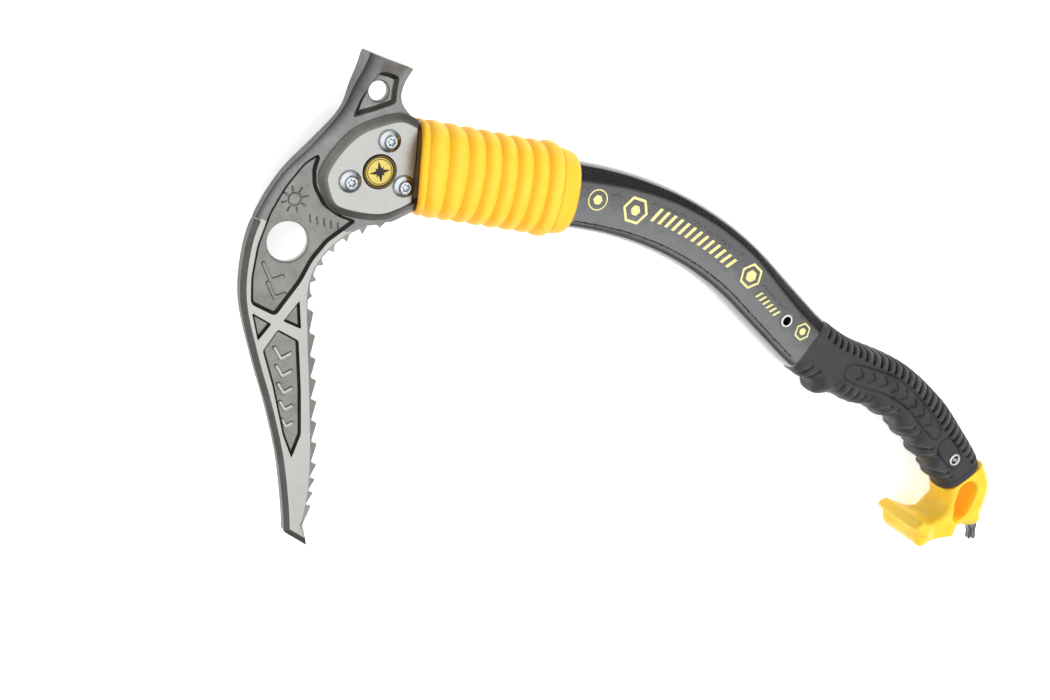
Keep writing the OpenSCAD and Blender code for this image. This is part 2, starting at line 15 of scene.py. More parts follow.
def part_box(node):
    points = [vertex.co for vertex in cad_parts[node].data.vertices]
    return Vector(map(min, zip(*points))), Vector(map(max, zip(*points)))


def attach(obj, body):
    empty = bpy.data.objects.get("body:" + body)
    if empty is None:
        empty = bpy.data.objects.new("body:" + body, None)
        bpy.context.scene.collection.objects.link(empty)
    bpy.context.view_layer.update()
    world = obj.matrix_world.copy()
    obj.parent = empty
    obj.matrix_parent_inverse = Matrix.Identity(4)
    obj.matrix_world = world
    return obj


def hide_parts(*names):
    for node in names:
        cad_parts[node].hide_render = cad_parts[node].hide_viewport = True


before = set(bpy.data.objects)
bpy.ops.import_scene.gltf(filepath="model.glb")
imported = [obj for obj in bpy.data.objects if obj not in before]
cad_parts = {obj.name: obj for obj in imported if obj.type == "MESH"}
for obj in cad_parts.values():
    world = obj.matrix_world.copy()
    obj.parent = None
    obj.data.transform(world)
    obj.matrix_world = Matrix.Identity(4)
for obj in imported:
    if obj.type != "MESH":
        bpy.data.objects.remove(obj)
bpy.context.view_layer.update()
MM = 0.001


def centre(node):
    low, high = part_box(node)
    return (low + high) / 2 / MM


# The badge fixes where the drawing's own origin lies in the frame, and the pick gives the mid-plane.
BADGE = (-2.3, 1.1)
OFFSET = np.array([centre("badge_front").x - BADGE[0], centre("badge_front").y - BADGE[1], centre("pick").z])


def place(points):
    return (np.asarray(points, float) + OFFSET) * MM


# --- Curves and distances ------------------------------------------------------------------


def smooth(t):
    t = np.clip(t, 0, 1)
    return t * t * (3 - 2 * t)


def ramp(x, start, end):
    return smooth((np.asarray(x, float) - start) / (end - start))


def bump(x, middle, half):
    """1 at the middle, falling smoothly to 0 at half away."""
    return 1 - smooth(np.abs(np.asarray(x, float) - middle) / half)


def unit(steps):
    """Each step at length 1."""
    return steps / np.linalg.norm(steps, axis=1)[:, None]


def spline(points, n, closed=False):
    """Catmull-Rom curve through the points, with n steps between each pair."""
    p = np.array(points, float)
    if closed:
        a, b, c, d = np.roll(p, 1, 0), p, np.roll(p, -1, 0), np.roll(p, -2, 0)
    else:
        q = np.vstack([p[:1], p, p[-1:]])
        a, b, c, d = q[:-3], q[1:-2], q[2:-1], q[3:]
    t = (np.arange(n) / n)[None, :, None]
    a, b, c, d = (x[:, None] for x in (a, b, c, d))
    curve = 0.5 * (2 * b + (c - a) * t + (2 * a - 5 * b + 4 * c - d) * t**2 + (3 * b - a - 3 * c + d) * t**3)
    curve = curve.reshape(-1, p.shape[1])
    return curve if closed else np.vstack([curve, p[-1:]])


def rounded(polygon, radius, n=4):
    """A closed polygon with its corners rounded off."""
    p = np.array(polygon, float)
    out = []
    for i in range(len(p)):
        before, here, after = p[i - 1], p[i], p[(i + 1) % len(p)]
        back, ahead = before - here, after - here
        a = here + back * min(radius / np.linalg.norm(back), 0.45)
        b = here + ahead * min(radius / np.linalg.norm(ahead), 0.45)
        for k in range(n + 1):
            t = k / n
            out.append((1 - t) ** 2 * a + 2 * t * (1 - t) * here + t**2 * b)
    return np.array(out)


def resample(points, step, closed=True):
    p = np.vstack([points, points[:1]]) if closed else np.array(points, float)
    run = np.r_[0, np.cumsum(np.linalg.norm(np.diff(p, axis=0), axis=1))]
    n = max(3, int(math.ceil(run[-1] / step)))
    at = np.linspace(0, run[-1], n + 1)
    out = np.c_[np.interp(at, run, p[:, 0]), np.interp(at, run, p[:, 1])]
    return out[:-1] if closed else out


def offset(loop, distance):
    """A closed loop moved inwards (for a counter-clockwise loop) by a distance."""
    p = np.array(loop, float)
    d = unit(np.roll(p, -1, 0) - np.roll(p, 1, 0))
    return p + np.c_[-d[:, 1], d[:, 0]] * distance


def turned_left(loop):
    """The loop, counter-clockwise."""
    p = np.array(loop, float)
    q = np.roll(p, -1, 0)
    area = (p[:, 0] * q[:, 1] - q[:, 0] * p[:, 1]).sum()
    return p if area > 0 else p[::-1]


def circle(middle, radius, n=40):
    a = np.arange(n) * 2 * math.pi / n
    return np.c_[middle[0] + radius * np.cos(a), middle[1] + radius * np.sin(a)]


def nearest(points, line, closed=False):
    """Distance from each point to a line of points, and the nearest place on it."""
    a = np.array(line, float)
    b = np.roll(a, -1, 0) if closed else a[1:]
    a = a if closed else a[:-1]
    best = np.full(len(points), 1e9)
    place_on = np.zeros((len(points), 2))
    for p, q in zip(a, b):
        d = q - p
        t = np.clip(((points - p) @ d) / max(d @ d, 1e-12), 0, 1)
        on = p + t[:, None] * d
        gap = np.linalg.norm(points - on, axis=1)
        closer = gap < best
        best[closer] = gap[closer]
        place_on[closer] = on[closer]
    return best, place_on


def inside(points, loop):
    p = np.asarray(points, float)
    a = np.array(loop, float)
    b = np.roll(a, -1, 0)
    odd = np.zeros(len(p), bool)
    for (x0, y0), (x1, y1) in zip(a, b):
        if y0 == y1:
            continue
        crosses = (y0 > p[:, 1]) != (y1 > p[:, 1])
        odd ^= crosses & (p[:, 0] < (x1 - x0) * (p[:, 1] - y0) / (y1 - y0) + x0)
    return odd


def between(outline, holes):
    """A test for points inside an outline and outside its holes."""
    def keep(p):
        ok = inside(p, outline)
        for hole in holes:
            ok &= ~inside(p, hole)
        return ok

    return keep


def signed(points, loop):
    """Distance to a closed loop, positive inside it."""
    gap, _ = nearest(points, loop, closed=True)
    return np.where(inside(points, loop), gap, -gap)


# --- Mesh making ---------------------------------------------------------------------------


def face_out(mesh):
    """Turn all faces of a closed mesh outwards."""
    work = bmesh.new()
    work.from_mesh(mesh)
    bmesh.ops.recalc_face_normals(work, faces=work.faces)
    work.to_mesh(mesh)
    work.free()


def solid(name, points, faces):
    """A mesh in the frame's metres from points in the drawing's millimetres."""
    mesh = bpy.data.meshes.new(name)
    mesh.from_pydata(place(points).tolist(), [], [list(map(int, f)) for f in faces])
    return mesh


def in_scene(name, data):
    obj = bpy.data.objects.new(name, data)
    bpy.context.scene.collection.objects.link(obj)
    return obj


def piece(name, points, faces, materials, slot, stands_for=(), sharp=35, paint=None, flow=None):
    """One object of the axe. paint gives each face's material, and flow a place on the surface in mm."""
    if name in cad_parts:
        name += "_detailed"
    mesh = solid(name, points, faces)
    if flow is not None:
        layer = mesh.attributes.new("flow", "FLOAT_VECTOR", "POINT")
        layer.data.foreach_set("vector", np.asarray(flow, np.float32).ravel())
    for material in materials:
        mesh.materials.append(material)
    if paint is not None:
        mesh.polygons.foreach_set("material_index", np.asarray(paint, np.int32))
    face_out(mesh)
    mesh.polygons.foreach_set("use_smooth", [True] * len(mesh.polygons))
    mesh.set_sharp_from_angle(angle=math.radians(sharp))
    mesh.validate()
    mesh.update()
    obj = in_scene(name, mesh)
    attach(obj, "root")
    if stands_for:
        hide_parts(*stands_for)
    return obj


def skin(rings, closed=False):
    """Faces over rings of points. The ends are capped, or the last ring joins the first."""
    rings = np.asarray(rings, float)
    n, m = rings.shape[:2]
    index = np.arange(n * m).reshape(n, m)
    if closed:
        index = np.vstack([index, index[:1]])
    a, b = index[:-1], index[1:]
    quads = np.stack([a, b, np.roll(b, -1, 1), np.roll(a, -1, 1)], 2).reshape(-1, 4)
    faces = [list(q) for q in quads]
    if not closed:
        faces.append(list(index[0]))
        faces.append(list(index[-1][::-1]))
    return rings.reshape(-1, 3), faces


def join(parts):
    """Several (points, faces) as one."""
    points, faces, start = [], [], 0
    for p, f in parts:
        points.append(p)
        faces += [[i + start for i in face] for face in f]
        start += len(p)
    return np.vstack(points), faces


def turned(profile, sides, shape=None):
    """A closed solid turned about z from a profile of (radius, z), both ends on the axis or looped.
    shape(k, angle) scales the radius of profile point k."""
    a = np.arange(sides) * 2 * math.pi / sides
    rings = []
    for k, (r, z) in enumerate(profile):
        scale = shape(k, a) if shape else 1
        rings.append(np.c_[r * scale * np.cos(a), r * scale * np.sin(a), np.full(sides, float(z))])
    return rings


def fill(lines, keep, spacing):
    """Triangles over a flat region. lines are [points, closed] and become edges; keep() tests points."""
    points, edges = [], []
    for line, closed in lines:
        first = len(points)
        points += [tuple(p) for p in line]
        last = len(points) - 1
        edges += [(i, i + 1) for i in range(first, last)]
        if closed:
            edges.append((last, first))
    fixed = np.array(points)
    low, high = fixed.min(0), fixed.max(0)
    rows = np.arange(low[1], high[1], spacing * 0.866)
    grid = np.array([
        (x, y) for i, y in enumerate(rows)
        for x in np.arange(low[0] + (i % 2) * spacing / 2, high[0], spacing)
    ])
    grid = grid[keep(grid)]
    gap = np.full(len(grid), 1e9)
    for line, closed in lines:
        gap = np.minimum(gap, nearest(grid, line, closed)[0])
    points += [tuple(p) for p in grid[gap > spacing * 0.55]]
    made, _, faces, *_ = delaunay_2d_cdt([Vector(p) for p in points], edges, [], 0, 1e-5)
    flat = np.array([tuple(v) for v in made])
    triangles = np.array([f for f in faces if len(f) == 3])
    a, b, c = (flat[triangles[:, k]] for k in range(3))
    area = (b[:, 0] - a[:, 0]) * (c[:, 1] - a[:, 1]) - (b[:, 1] - a[:, 1]) * (c[:, 0] - a[:, 0])
    triangles = triangles[(np.abs(area) > 1e-7) & keep((a + b + c) / 3)]
    used, again = np.unique(triangles, return_inverse=True)
    return flat[used], again.reshape(-1, 3)


def slab(flat, triangles, top, bottom):
    """A closed solid over a flat region, between two heights given for each point."""
    n = len(flat)
    points = np.vstack([np.c_[flat, top], np.c_[flat, bottom]])
    edges = np.vstack([triangles[:, [0, 1]], triangles[:, [1, 2]], triangles[:, [2, 0]]])
    known = {(a, b) for a, b in edges}
    rim = [(a, b) for a, b in edges if (b, a) not in known]
    walls = [(b, a, a + n, b + n) for a, b in rim]
    faces = [tuple(t) for t in triangles] + [tuple(t) for t in triangles[:, ::-1] + n] + walls
    return points, faces, len(triangles), rim


# --- The bent shaft's own coordinates --------------------------------------------------------

SHAFT_Y = 4.9
BENDS = [(105, 0), (113.3, -31.5), (43.4, 0), (21.3, 8.8), (28.3, 11.7), (4, 0), (120.1, -36.5)]
TRACK_STEP = 0.25


def centreline():
    """Places and headings along the shaft, from its bends of (length, turn)."""
    lengths, turns = np.array(BENDS).T
    ends = np.cumsum(lengths)
    s = np.arange(0, ends[-1], TRACK_STEP)
    heading = np.interp(s, np.r_[0, ends], np.r_[0, np.cumsum(np.radians(turns))])
    middle = (heading[:-1] + heading[1:]) / 2
    x = np.r_[0, np.cumsum(np.cos(middle) * TRACK_STEP)]
    y = SHAFT_Y + np.r_[0, np.cumsum(np.sin(middle) * TRACK_STEP)]
    return s, x, y, heading


TRACK = centreline()


def on_shaft(s, v, z):
    """Points at s along the shaft, v sideways towards its back, and z up."""
    x, y, heading = (np.interp(s, TRACK[0], t) for t in TRACK[1:])
    return np.stack(np.broadcast_arrays(x - v * np.sin(heading), y + v * np.cos(heading), z), -1)


def superellipse(half_width, half_height, power, sides):
    a = (np.arange(sides) + 0.5) * 2 * math.pi / sides
    c, s = np.cos(a), np.sin(a)
    return (half_width * np.sign(c) * np.abs(c) ** (2 / power),
            half_height * np.sign(s) * np.abs(s) ** (2 / power))


# --- Materials -----------------------------------------------------------------------------


class Nodes:
    """Short names for the few shader nodes that the materials use."""

    def __init__(self, name, **sockets):
        self.material = bpy.data.materials.new(name)
        self.material.use_nodes = True
        self.tree = self.material.node_tree
        self.shader = self.tree.nodes["Principled BSDF"]
        for key, value in sockets.items():
            self.shader.inputs[key.replace("_", " ")].default_value = value

    def add(self, kind, inputs=(), **values):
        node = self.tree.nodes.new(kind)
        for key, value in values.items():
            setattr(node, key, value)
        for key, value in dict(inputs).items():
            if isinstance(value, bpy.types.NodeSocket):
                self.tree.links.new(value, node.inputs[key])
            else:
                node.inputs[key].default_value = value
        return node

    def position(self, scale=(1, 1, 1)):
        """The place on the object in mm, stretched by scale."""
        coords = self.add("ShaderNodeTexCoord").outputs["Object"]
        return self.add("ShaderNodeMapping", {"Vector": coords, "Scale": [s / MM for s in scale]}).outputs[0]

    def flow(self, scale=(1, 1, 1)):
        """The piece's own flow attribute: two places on its surface in mm and a tone, stretched by scale."""
        coords = self.add("ShaderNodeAttribute", attribute_name="flow").outputs["Vector"]
        return self.add("ShaderNodeMapping", {"Vector": coords, "Scale": scale}).outputs[0]

    def noise(self, vector, size, detail=3, roughness=0.55):
        """Soft random pattern from 0 to 1, with features about size mm across."""
        return self.add("ShaderNodeTexNoise", {
            "Vector": vector, "Scale": 1 / size, "Detail": detail, "Roughness": roughness}).outputs["Fac"]

    def tone(self):
        """The flow's third number: how high, raised, turned or hidden the place is, which sets its painted
        light or shade.
        """
        return self.add("ShaderNodeSeparateXYZ", {0: self.flow()}).outputs[2]

    def math(self, operation, a, b=0.0):
        return self.add("ShaderNodeMath", {0: a, 1: b}, operation=operation).outputs[0]

    def spread(self, value, low, high, to_low=0.0, to_high=1.0):
        return self.add("ShaderNodeMapRange", {
            "Value": value, "From Min": low, "From Max": high,
            "To Min": to_low, "To Max": to_high}).outputs[0]

    def colours(self, value, *stops):
        """A colour for each value, from stops of (value, (r, g, b))."""
        node = self.add("ShaderNodeValToRGB", {"Fac": value})
        ramp_stops = node.color_ramp.elements
        while len(ramp_stops) < len(stops):
            ramp_stops.new(0.5)
        for element, (at, rgb) in zip(ramp_stops, stops):
            element.position = at
            element.color = (*rgb, 1)
        return node.outputs["Color"]

    def mix(self, amount, a, b):
        """Colour a where amount is 0, and b where it is 1."""
        node = self.add("ShaderNodeMix", data_type="RGBA")
        for socket, value in ((node.inputs[0], amount), (node.inputs[6], a), (node.inputs[7], b)):
            if isinstance(value, bpy.types.NodeSocket):
                self.tree.links.new(value, socket)
            else:
                socket.default_value = value if isinstance(value, float) else (*value, 1)
        return node.outputs[2]

    def bump(self, height, depth):
        """Relief of depth mm from a pattern of 0 to 1."""
        node = self.add("ShaderNodeBump", {"Height": height, "Strength": 1.0, "Distance": depth * MM})
        self.set("Normal", node.outputs[0])

    def set(self, key, value):
        self.tree.links.new(value, self.shader.inputs[key])

    def worn(self, base, darkest, lightest, size):
        """Base colour that varies between darkest and lightest times itself, over patches of some size."""
        patches = self.noise(self.position(), size, 4)
        fine = self.noise(self.position(), size / 9, 3)
        both = self.math("ADD", self.math("MULTIPLY", patches, 0.6), self.math("MULTIPLY", fine, 0.4))
        stops = (0.3, shade(base, darkest)), (0.5, base), (0.7, shade(base, lightest))
        self.set("Base Color", self.colours(both, *stops))
        return both


def shade(rgb, amount):
    """A colour made darker or lighter."""
    return [min(1, c * amount) for c in rgb]


def brushed(name, base, rough, along, depth=0.012):
    """Ground or brushed metal with fine scratches. along stretches the scratches in x, y and z."""
    m = Nodes(name, Metallic=1.0, Roughness=rough)
    scratches = m.noise(m.position(along), 0.5, 5, 0.75)
    cloud = m.noise(m.position(), 14, 3)
    spots = m.math("ADD", m.math("MULTIPLY", scratches, 0.75), m.math("MULTIPLY", cloud, 0.25))
    m.set("Base Color", m.colours(spots, (0.35, shade(base, 0.86)), (0.5, base), (0.65, shade(base, 1.1))))
    uneven = m.math("ADD", m.math("MULTIPLY", scratches, 0.7), m.math("MULTIPLY", spots, 0.3))
    m.set("Roughness", m.spread(uneven, 0.3, 0.7, rough - 0.07, rough + 0.09))
    m.bump(scratches, depth)
    return m.material


def forged(name, base, rough, depth=0.08, edge=None):
    """Shot-blasted forging: fine grain over soft unevenness. edge is a painted shade colour, laid on by the
    flow's tone where the metal rolls over.
    """
    m = Nodes(name, Metallic=1.0, Roughness=rough)
    grain = m.noise(m.position(), 0.5, 5, 0.65)
    uneven = m.worn(base, 0.72, 1.2, 9)
    if edge is not None:
        plain = m.shader.inputs["Base Color"].links[0].from_socket
        m.set("Base Color", m.mix(m.tone(), plain, edge))
    m.set("Roughness", m.spread(grain, 0.3, 0.7, rough - 0.08, rough + 0.1))
    m.bump(m.math("ADD", grain, m.math("MULTIPLY", uneven, 0.8)), depth)
    return m.material


def polished(name, base, rough):
    """Bright plated metal with faint haze and handling marks."""
    m = Nodes(name, Metallic=1.0, Roughness=rough)
    marks = m.worn(base, 0.82, 1.1, 2.5)
    m.set("Roughness", m.spread(marks, 0.3, 0.7, rough - 0.04, rough + 0.12))
    m.bump(marks, 0.004)
    return m.material


def sleeve_rubber():
    """Golden rubber: deeper in the valleys as painted shade, lighter on the ribs as a painted highlight, with
    a fine matte grain.
    """
    m = Nodes("sleeve_rubber", Roughness=0.5, Specular_IOR_Level=0.35, Subsurface_Weight=0.1,
              Subsurface_Radius=(1.0, 0.6, 0.1), Subsurface_Scale=1.5 * MM)
    tone = m.colours(m.tone(), (0.0, SLEEVE_SHADE), (0.45, SLEEVE_MID), (1.0, SLEEVE_HIGHLIGHT))
    patches = m.noise(m.position(), 7, 4)
    m.set("Base Color", m.mix(m.spread(patches, 0.35, 0.75, 0.0, 0.35), tone, SLEEVE_SHADE))
    grain = m.noise(m.position(), 0.35, 4, 0.6)
    m.set("Roughness", m.spread(grain, 0.3, 0.7, 0.42, 0.6))
    m.bump(grain, 0.05)
    return m.material


def grip_rubber():
    """Charcoal rubber with a matte stipple, and slightly shiny where hands have worn it. Its colour is
    painted shade in the grooves and cuts, and lighter on raised parts as wear and painted highlight.
    """
    m = Nodes("grip_rubber", Roughness=0.55, Specular_IOR_Level=0.5)
    stipple = m.noise(m.position(), 0.4, 4, 0.7)
    wear = m.noise(m.position(), 11, 4)
    height = m.math("ADD", m.spread(m.tone(), -1.2, 1.2), m.spread(wear, 0.3, 0.7, -0.12, 0.12))
    stops = (0.12, GRIP_GROOVE_SHADE), (0.42, GRIP_GREY), (0.58, GRIP_GREY), (0.85, GRIP_WORN_HIGHLIGHT)
    m.set("Base Color", m.colours(height, *stops))
    m.set("Roughness", m.spread(wear, 0.35, 0.65, 0.62, 0.44))
    m.bump(stipple, 0.06)
    return m.material


def carbon():
    """Twill of carbon tows under a glossy coat, with a painted reflection and painted shade across the flat
    side.
    """
    m = Nodes("carbon", Roughness=0.4, Specular_IOR_Level=0.4,
              Coat_Weight=1.0, Coat_Roughness=0.1, Coat_IOR=2.0)
    axes = m.add("ShaderNodeSeparateXYZ", {0: m.flow((1 / TOW, 1 / TOW, 1))})
    u, v, sideways = axes.outputs
    over = m.math("SINE", m.math("MULTIPLY", m.math("ADD", u, v), math.pi))
    under = m.math("SINE", m.math("MULTIPLY", m.math("SUBTRACT", u, v), math.pi))
    twill = m.spread(m.math("MULTIPLY", over, under), -1.0, 1.0)
    fibres = m.noise(m.flow((0.25, 4, 1)), 0.6, 4, 0.7)
    cloud = m.noise(m.flow(), 5, 4)
    on_flank = m.spread(m.math("ABSOLUTE", sideways), 8.5, 13.0, 0.12, 0.5)
    weave = m.math("ADD", m.math("MULTIPLY", m.math("SUBTRACT", twill, 0.5), on_flank),
                   m.math("ADD", m.math("MULTIPLY", fibres, 0.5), m.math("MULTIPLY", cloud, 0.4)))
    # Painted light: a lighter band low on the flat side as a painted reflection, and darker towards its upper
    # edge as painted shade.
    tone = m.math("ADD", weave, m.spread(sideways, 9.0, -7.0, -0.16, 0.28))
    m.set("Base Color", m.colours(tone, (0.3, CARBON_DARK), (0.5, CARBON_MID), (0.72, CARBON_LIGHT)))
    m.set("Roughness", m.spread(twill, 0, 1, 0.3, 0.45))
    m.bump(twill, 0.03)
    return m.material


def moulded(name, base, deep, rough=0.38):
    """Moulded plastic with soft colour depth and a faint surface texture, and painted shade deeper inside its
    eye.
    """
    m = Nodes(name, Roughness=rough, Specular_IOR_Level=0.45, Subsurface_Weight=0.4,
              Subsurface_Radius=(1.0, 0.6, 0.08), Subsurface_Scale=4.0 * MM)
    patches = m.noise(m.position(), 9, 4)
    pits = m.noise(m.position(), 0.6, 4, 0.6)
    m.set("Base Color", m.mix(m.tone(), m.colours(patches, (0.3, deep), (0.6, base)), POMMEL_EYE_SHADE))
    m.set("Roughness", m.spread(pits, 0.3, 0.7, rough - 0.06, rough + 0.1))
    m.bump(pits, 0.03)
    return m.material


def ink(name, base, rough=0.4):
    """Screen-printed ink, slightly uneven in density."""
    m = Nodes(name, Roughness=rough, Specular_IOR_Level=0.4)
    m.worn(base, 0.7, 1.1, 1.5)
    m.bump(m.noise(m.position(), 0.3, 3), 0.01)
    return m.material


POMMEL_EYE_SHADE = (0.95, 0.5, 0.02)
SLEEVE_SHADE = (0.9, 0.46, 0.013)
SLEEVE_MID = (0.9, 0.49, 0.02)
SLEEVE_HIGHLIGHT = (0.94, 0.6, 0.06)
GRIP_GROOVE_SHADE = (0.006, 0.006, 0.007)
GRIP_WORN_HIGHLIGHT = (0.062, 0.064, 0.068)
GRIP_GREY = (0.034, 0.035, 0.037)
CARBON_DARK = (0.004, 0.004, 0.0045)
CARBON_MID = (0.016, 0.0165, 0.018)
CARBON_LIGHT = (0.075, 0.077, 0.082)
TOW = 1.6          # width of a carbon tow

# FORGED's edge colour is painted shade for the back edge and hammer flank, where the metal rolls away from
# the light.
FORGED = forged("forged_steel", (0.36, 0.36, 0.35), 0.5, edge=(0.07, 0.068, 0.064))
POCKET = forged("pocket_steel", (0.4, 0.4, 0.385), 0.55)
# Dark bevel colour: painted shade on the back-edge bevels and walls.
SHADED_BEVEL = forged("painted_shade_bevel_steel", (0.13, 0.125, 0.118), 0.42, 0.04)
# Near-black groove colour: painted shade on the pockets' walls.
GROOVE_SHADE = forged("painted_shade_groove_steel", (0.1, 0.098, 0.092), 0.5, 0.04)
GROUND = brushed("ground_steel", (0.6, 0.59, 0.57), 0.36, (2.2, 0.2, 1.0))
TOOTH = brushed("tooth_steel", (0.62, 0.61, 0.59), 0.4, (0.3, 2.4, 1.0), 0.02)
CHEEK = brushed("cheek_steel", (0.6, 0.6, 0.58), 0.34, (0.12, 2.2, 1.0), 0.025)
# Darker cheek colour: painted shade on the plate's bevel and edges.
CHEEK_BEVEL_SHADE = forged("painted_shade_cheek_bevel_steel", (0.25, 0.245, 0.23), 0.38, 0.03)
ZINC = polished("zinc_plate", (0.8, 0.86, 0.9), 0.2)
BADGE_FACE = polished("badge_gold_face", (0.82, 0.66, 0.18), 0.22)
# Near-black: painted shade inside the upper eyelet's hole.
BORE_SHADE = forged("bore_painted_shade", (0.02, 0.018, 0.016), 0.5)
BRIGHT = polished("bright_nickel", (0.86, 0.86, 0.85), 0.12)
SPIKE = brushed("spike_steel", (0.3, 0.3, 0.31), 0.38, (1.0, 1.0, 4.0), 0.03)
BRONZE = polished("badge_bronze", (0.2, 0.15, 0.06), 0.3)
ENAMEL = ink("badge_enamel", (0.018, 0.016, 0.014), 0.2)
ALUMINIUM = brushed("machined_aluminium", (0.72, 0.72, 0.74), 0.35, (1.0, 4.0, 1.0))
SLEEVE = sleeve_rubber()
GRIP = grip_rubber()
CARBON = carbon()
POMMEL = moulded("pommel_plastic", (0.9, 0.62, 0.045), (0.88, 0.53, 0.028))
INK = ink("pale_ink", (0.82, 0.73, 0.3))
DARK_INK = ink("dark_ink", (0.012, 0.012, 0.012))


# --- Pick and hammer -----------------------------------------------------------------------

LAND = 3.5          # half thickness of the pick's flats
HAMMER_TOP = 52
HAMMER_HALF = 11    # half width of the striking face at the spine
SPINE_HALF = 2.7    # half thickness of the pick's back edge
RIM = 2.8           # width of the bevel along the back edge
FLANK = 20.5        # width of the hammer's sloping flank at the top
TIP = (3.6, -186.5)
SPINE = spline([(-18.2, HAMMER_TOP), (-19.2, 45.5), (-21.5, 36.5), (-24.5, 24), (-33.9, 8.5), (-45, -7.5),
                (-52.2, -25.5), (-55, -43), (-52.5, -67), (-42, -93), (-30, -118), (-20, -142),
                (-12.8, -165), (-9, -180)], 6)
HAMMER_REAR = spline([(4.2, 48.6), (1.9, 43), (1, 37), (2.6, 32.5), (7, 28.5), (13, 24.6)], 5)
BUTT = [(19.5, 21), (19.5, -14.8)]
ROOTS = spline([(16, -18.3), (10.5, -21.8), (2.4, -24.1), (-6, -28), (-14, -35.4), (-20, -45), (-22, -58),
                (-18.2, -77), (-9.9, -111.4), (-3.4, -141), (-0.9, -160), (-0.8, -175.8)], 5)
SMALL_TEETH = [(5.4, -25.8), (-1.6, -30.0), (-8.0, -34.6), (-13.4, -40.0), (-16.7, -46.8), (-18.6, -54.2),
               (-19.4, -61.6)]
BIG_TEETH = [(-17.0, -69.2), (-13.6, -80.6), (-10.9, -91.9), (-8.5, -102.3), (-6.1, -112.8), (-3.8, -123.4),
             (-1.5, -134), (0.6, -144.6), (1.4, -152.3), (1.9, -159.3), (2.3, -166.3)]
SPIKE_HALF = (2.7, 1.1)   # half width of a small tooth at its root, behind and ahead of its tip
BIG_ROOT = (-3.9, 1.7)
NOSE = [TIP, (1.4, -180.5), (-0.6, -175.8)]

PICK_HOLE = (-36.2, -37.8)
PICK_HOLE_R = 9.4
HAMMER_HOLE = (-9.2, 35.8)
HAMMER_HOLE_R = 4.6
BOLTS = [(-0.9, 15.6), (-15.1, -5.4), (10.5, -3.7)]
BOLT_HOLE_R = 3.1

UPPER_POCKET = [(-31.2, 4.0), (-29.6, 2.6), (-30.5, -3.0), (-28.8, -10.2), (-22.9, -17.8), (-14.8, -21.8),
                (-6.6, -23.3), (-10.5, -27.4), (-18, -35), (-23.3, -44.5), (-26.5, -55), (-35.2, -72.6),
                (-47.6, -68.3), (-49.8, -56.2), (-50, -41), (-47.4, -25.3), (-42.8, -12.5), (-36.6, -1.2)]
LOWER_POCKET = [(-32.7, -78.6), (-22, -82.9), (-15.9, -106.9), (-11.3, -128.8), (-13.4, -141.4),
                (-20, -130), (-30, -105.8), (-37.8, -89.6)]
LEFT_TRIANGLE = [(-46.3, -72.2), (-36.2, -76.4), (-41.0, -85.2)]
RIGHT_TRIANGLE = [(-25.5, -63.8), (-31.2, -74.5), (-22.0, -77.3)]
HAMMER_POCKET = [(-11.9, 45.2), (-5.3, 44.9), (-1.2, 43.6), (-1.2, 37.4), (-0.4, 32), (-9.3, 27),
                 (-19.2, 22.4), (-17.9, 30.8), (-15, 39.4)]
# Each pocket is (outline, corner radius, half thickness left at its floor, width of its wall).
POCKETS = [(UPPER_POCKET, 2.2, 1.9, 1.5), (LOWER_POCKET, 1.0, 1.9, 1.2), (LEFT_TRIANGLE, 0.7, 1.9, 1.1),
           (RIGHT_TRIANGLE, 0.7, 1.9, 1.1), (HAMMER_POCKET, 1.6, 2.1, 2.2)]
GROUND_FROM = -29   # below this height of y the flats are ground bright
PICK_BACK = np.vstack([SPINE, [TIP]])
ROUND_HOLES = [(PICK_HOLE, PICK_HOLE_R, 64), (HAMMER_HOLE, HAMMER_HOLE_R, 48)]   # (centre, radius, sides)
HOLE_CHAMFER = 0.6
TEETH_BELOW = -15    # the teeth lie below this height of y
RIM_LINE_TOP = 14    # the mesh follows the bevel's inner line below this height of y
PICK_FINISHES = [FORGED, GROUND, POCKET, GROOVE_SHADE, SHADED_BEVEL, TOOTH]
AS_FORGED, AS_GROUND, AS_POCKET, AS_GROOVE_SHADE, AS_SHADED_BEVEL, AS_TOOTH = range(6)


def beside(line, distance):
    """An open line moved sideways to its left by a distance, or by one distance for each point."""
    d = unit(np.diff(line, axis=0))
    lean = np.vstack([d[:1], (d[:-1] + d[1:]) / 2, d[-1:]])
    lean /= (lean**2).sum(1)[:, None]
    return line + np.c_[-lean[:, 1], lean[:, 0]] * np.reshape(distance, (-1, 1))


def around(line, distance):
    """A closed outline at a distance round an open line, with square ends."""
    d = unit(np.diff(line, axis=0))
    longer = line.copy()
    longer[0] -= d[0] * distance
    longer[-1] += d[-1] * distance
    return np.vstack([beside(longer, distance), beside(longer, -distance)[::-1]])


def with_roots(tips, root):
    return [p for x, y in tips for p in ((x + root[0], y + root[1]), (x, y))]


def small_teeth():
    """The small teeth, each with a root behind and ahead of its tip on the line of roots."""
    tips = np.array(SMALL_TEETH)
    heading = unit(np.gradient(tips, axis=0))
    feet = nearest(tips, ROOTS)[1]
    return [p for tip, foot, way in zip(tips, feet, heading)
            for p in (foot - SPIKE_HALF[0] * way, tip, foot + SPIKE_HALF[1] * way)]


def chevron(x, y, size, lean=0.25):
    """An open V that points to the tip of the pick."""
    return np.array([(x - size, y + size * 0.55 + size * lean), (x, y - size * 0.45),
                     (x + size, y + size * 0.55 - size * lean)])


# Raised marks on the floors of the pockets: (line, closed, half width)
BRIGHT_MARKS = [(chevron(-28.2 + 2.3 * i, -91 - 8.4 * i, 4.0 - 0.35 * i), False, 0.95) for i in range(5)]
EMBLEM = (-36.8, -18.1)
SPOKES = 8


def spoke(i, inner, outer):
    a = math.radians(360 / SPOKES * (i + 0.5))
    return np.array([(EMBLEM[0] + r * math.cos(a), EMBLEM[1] + r * math.sin(a)) for r in (inner, outer)])


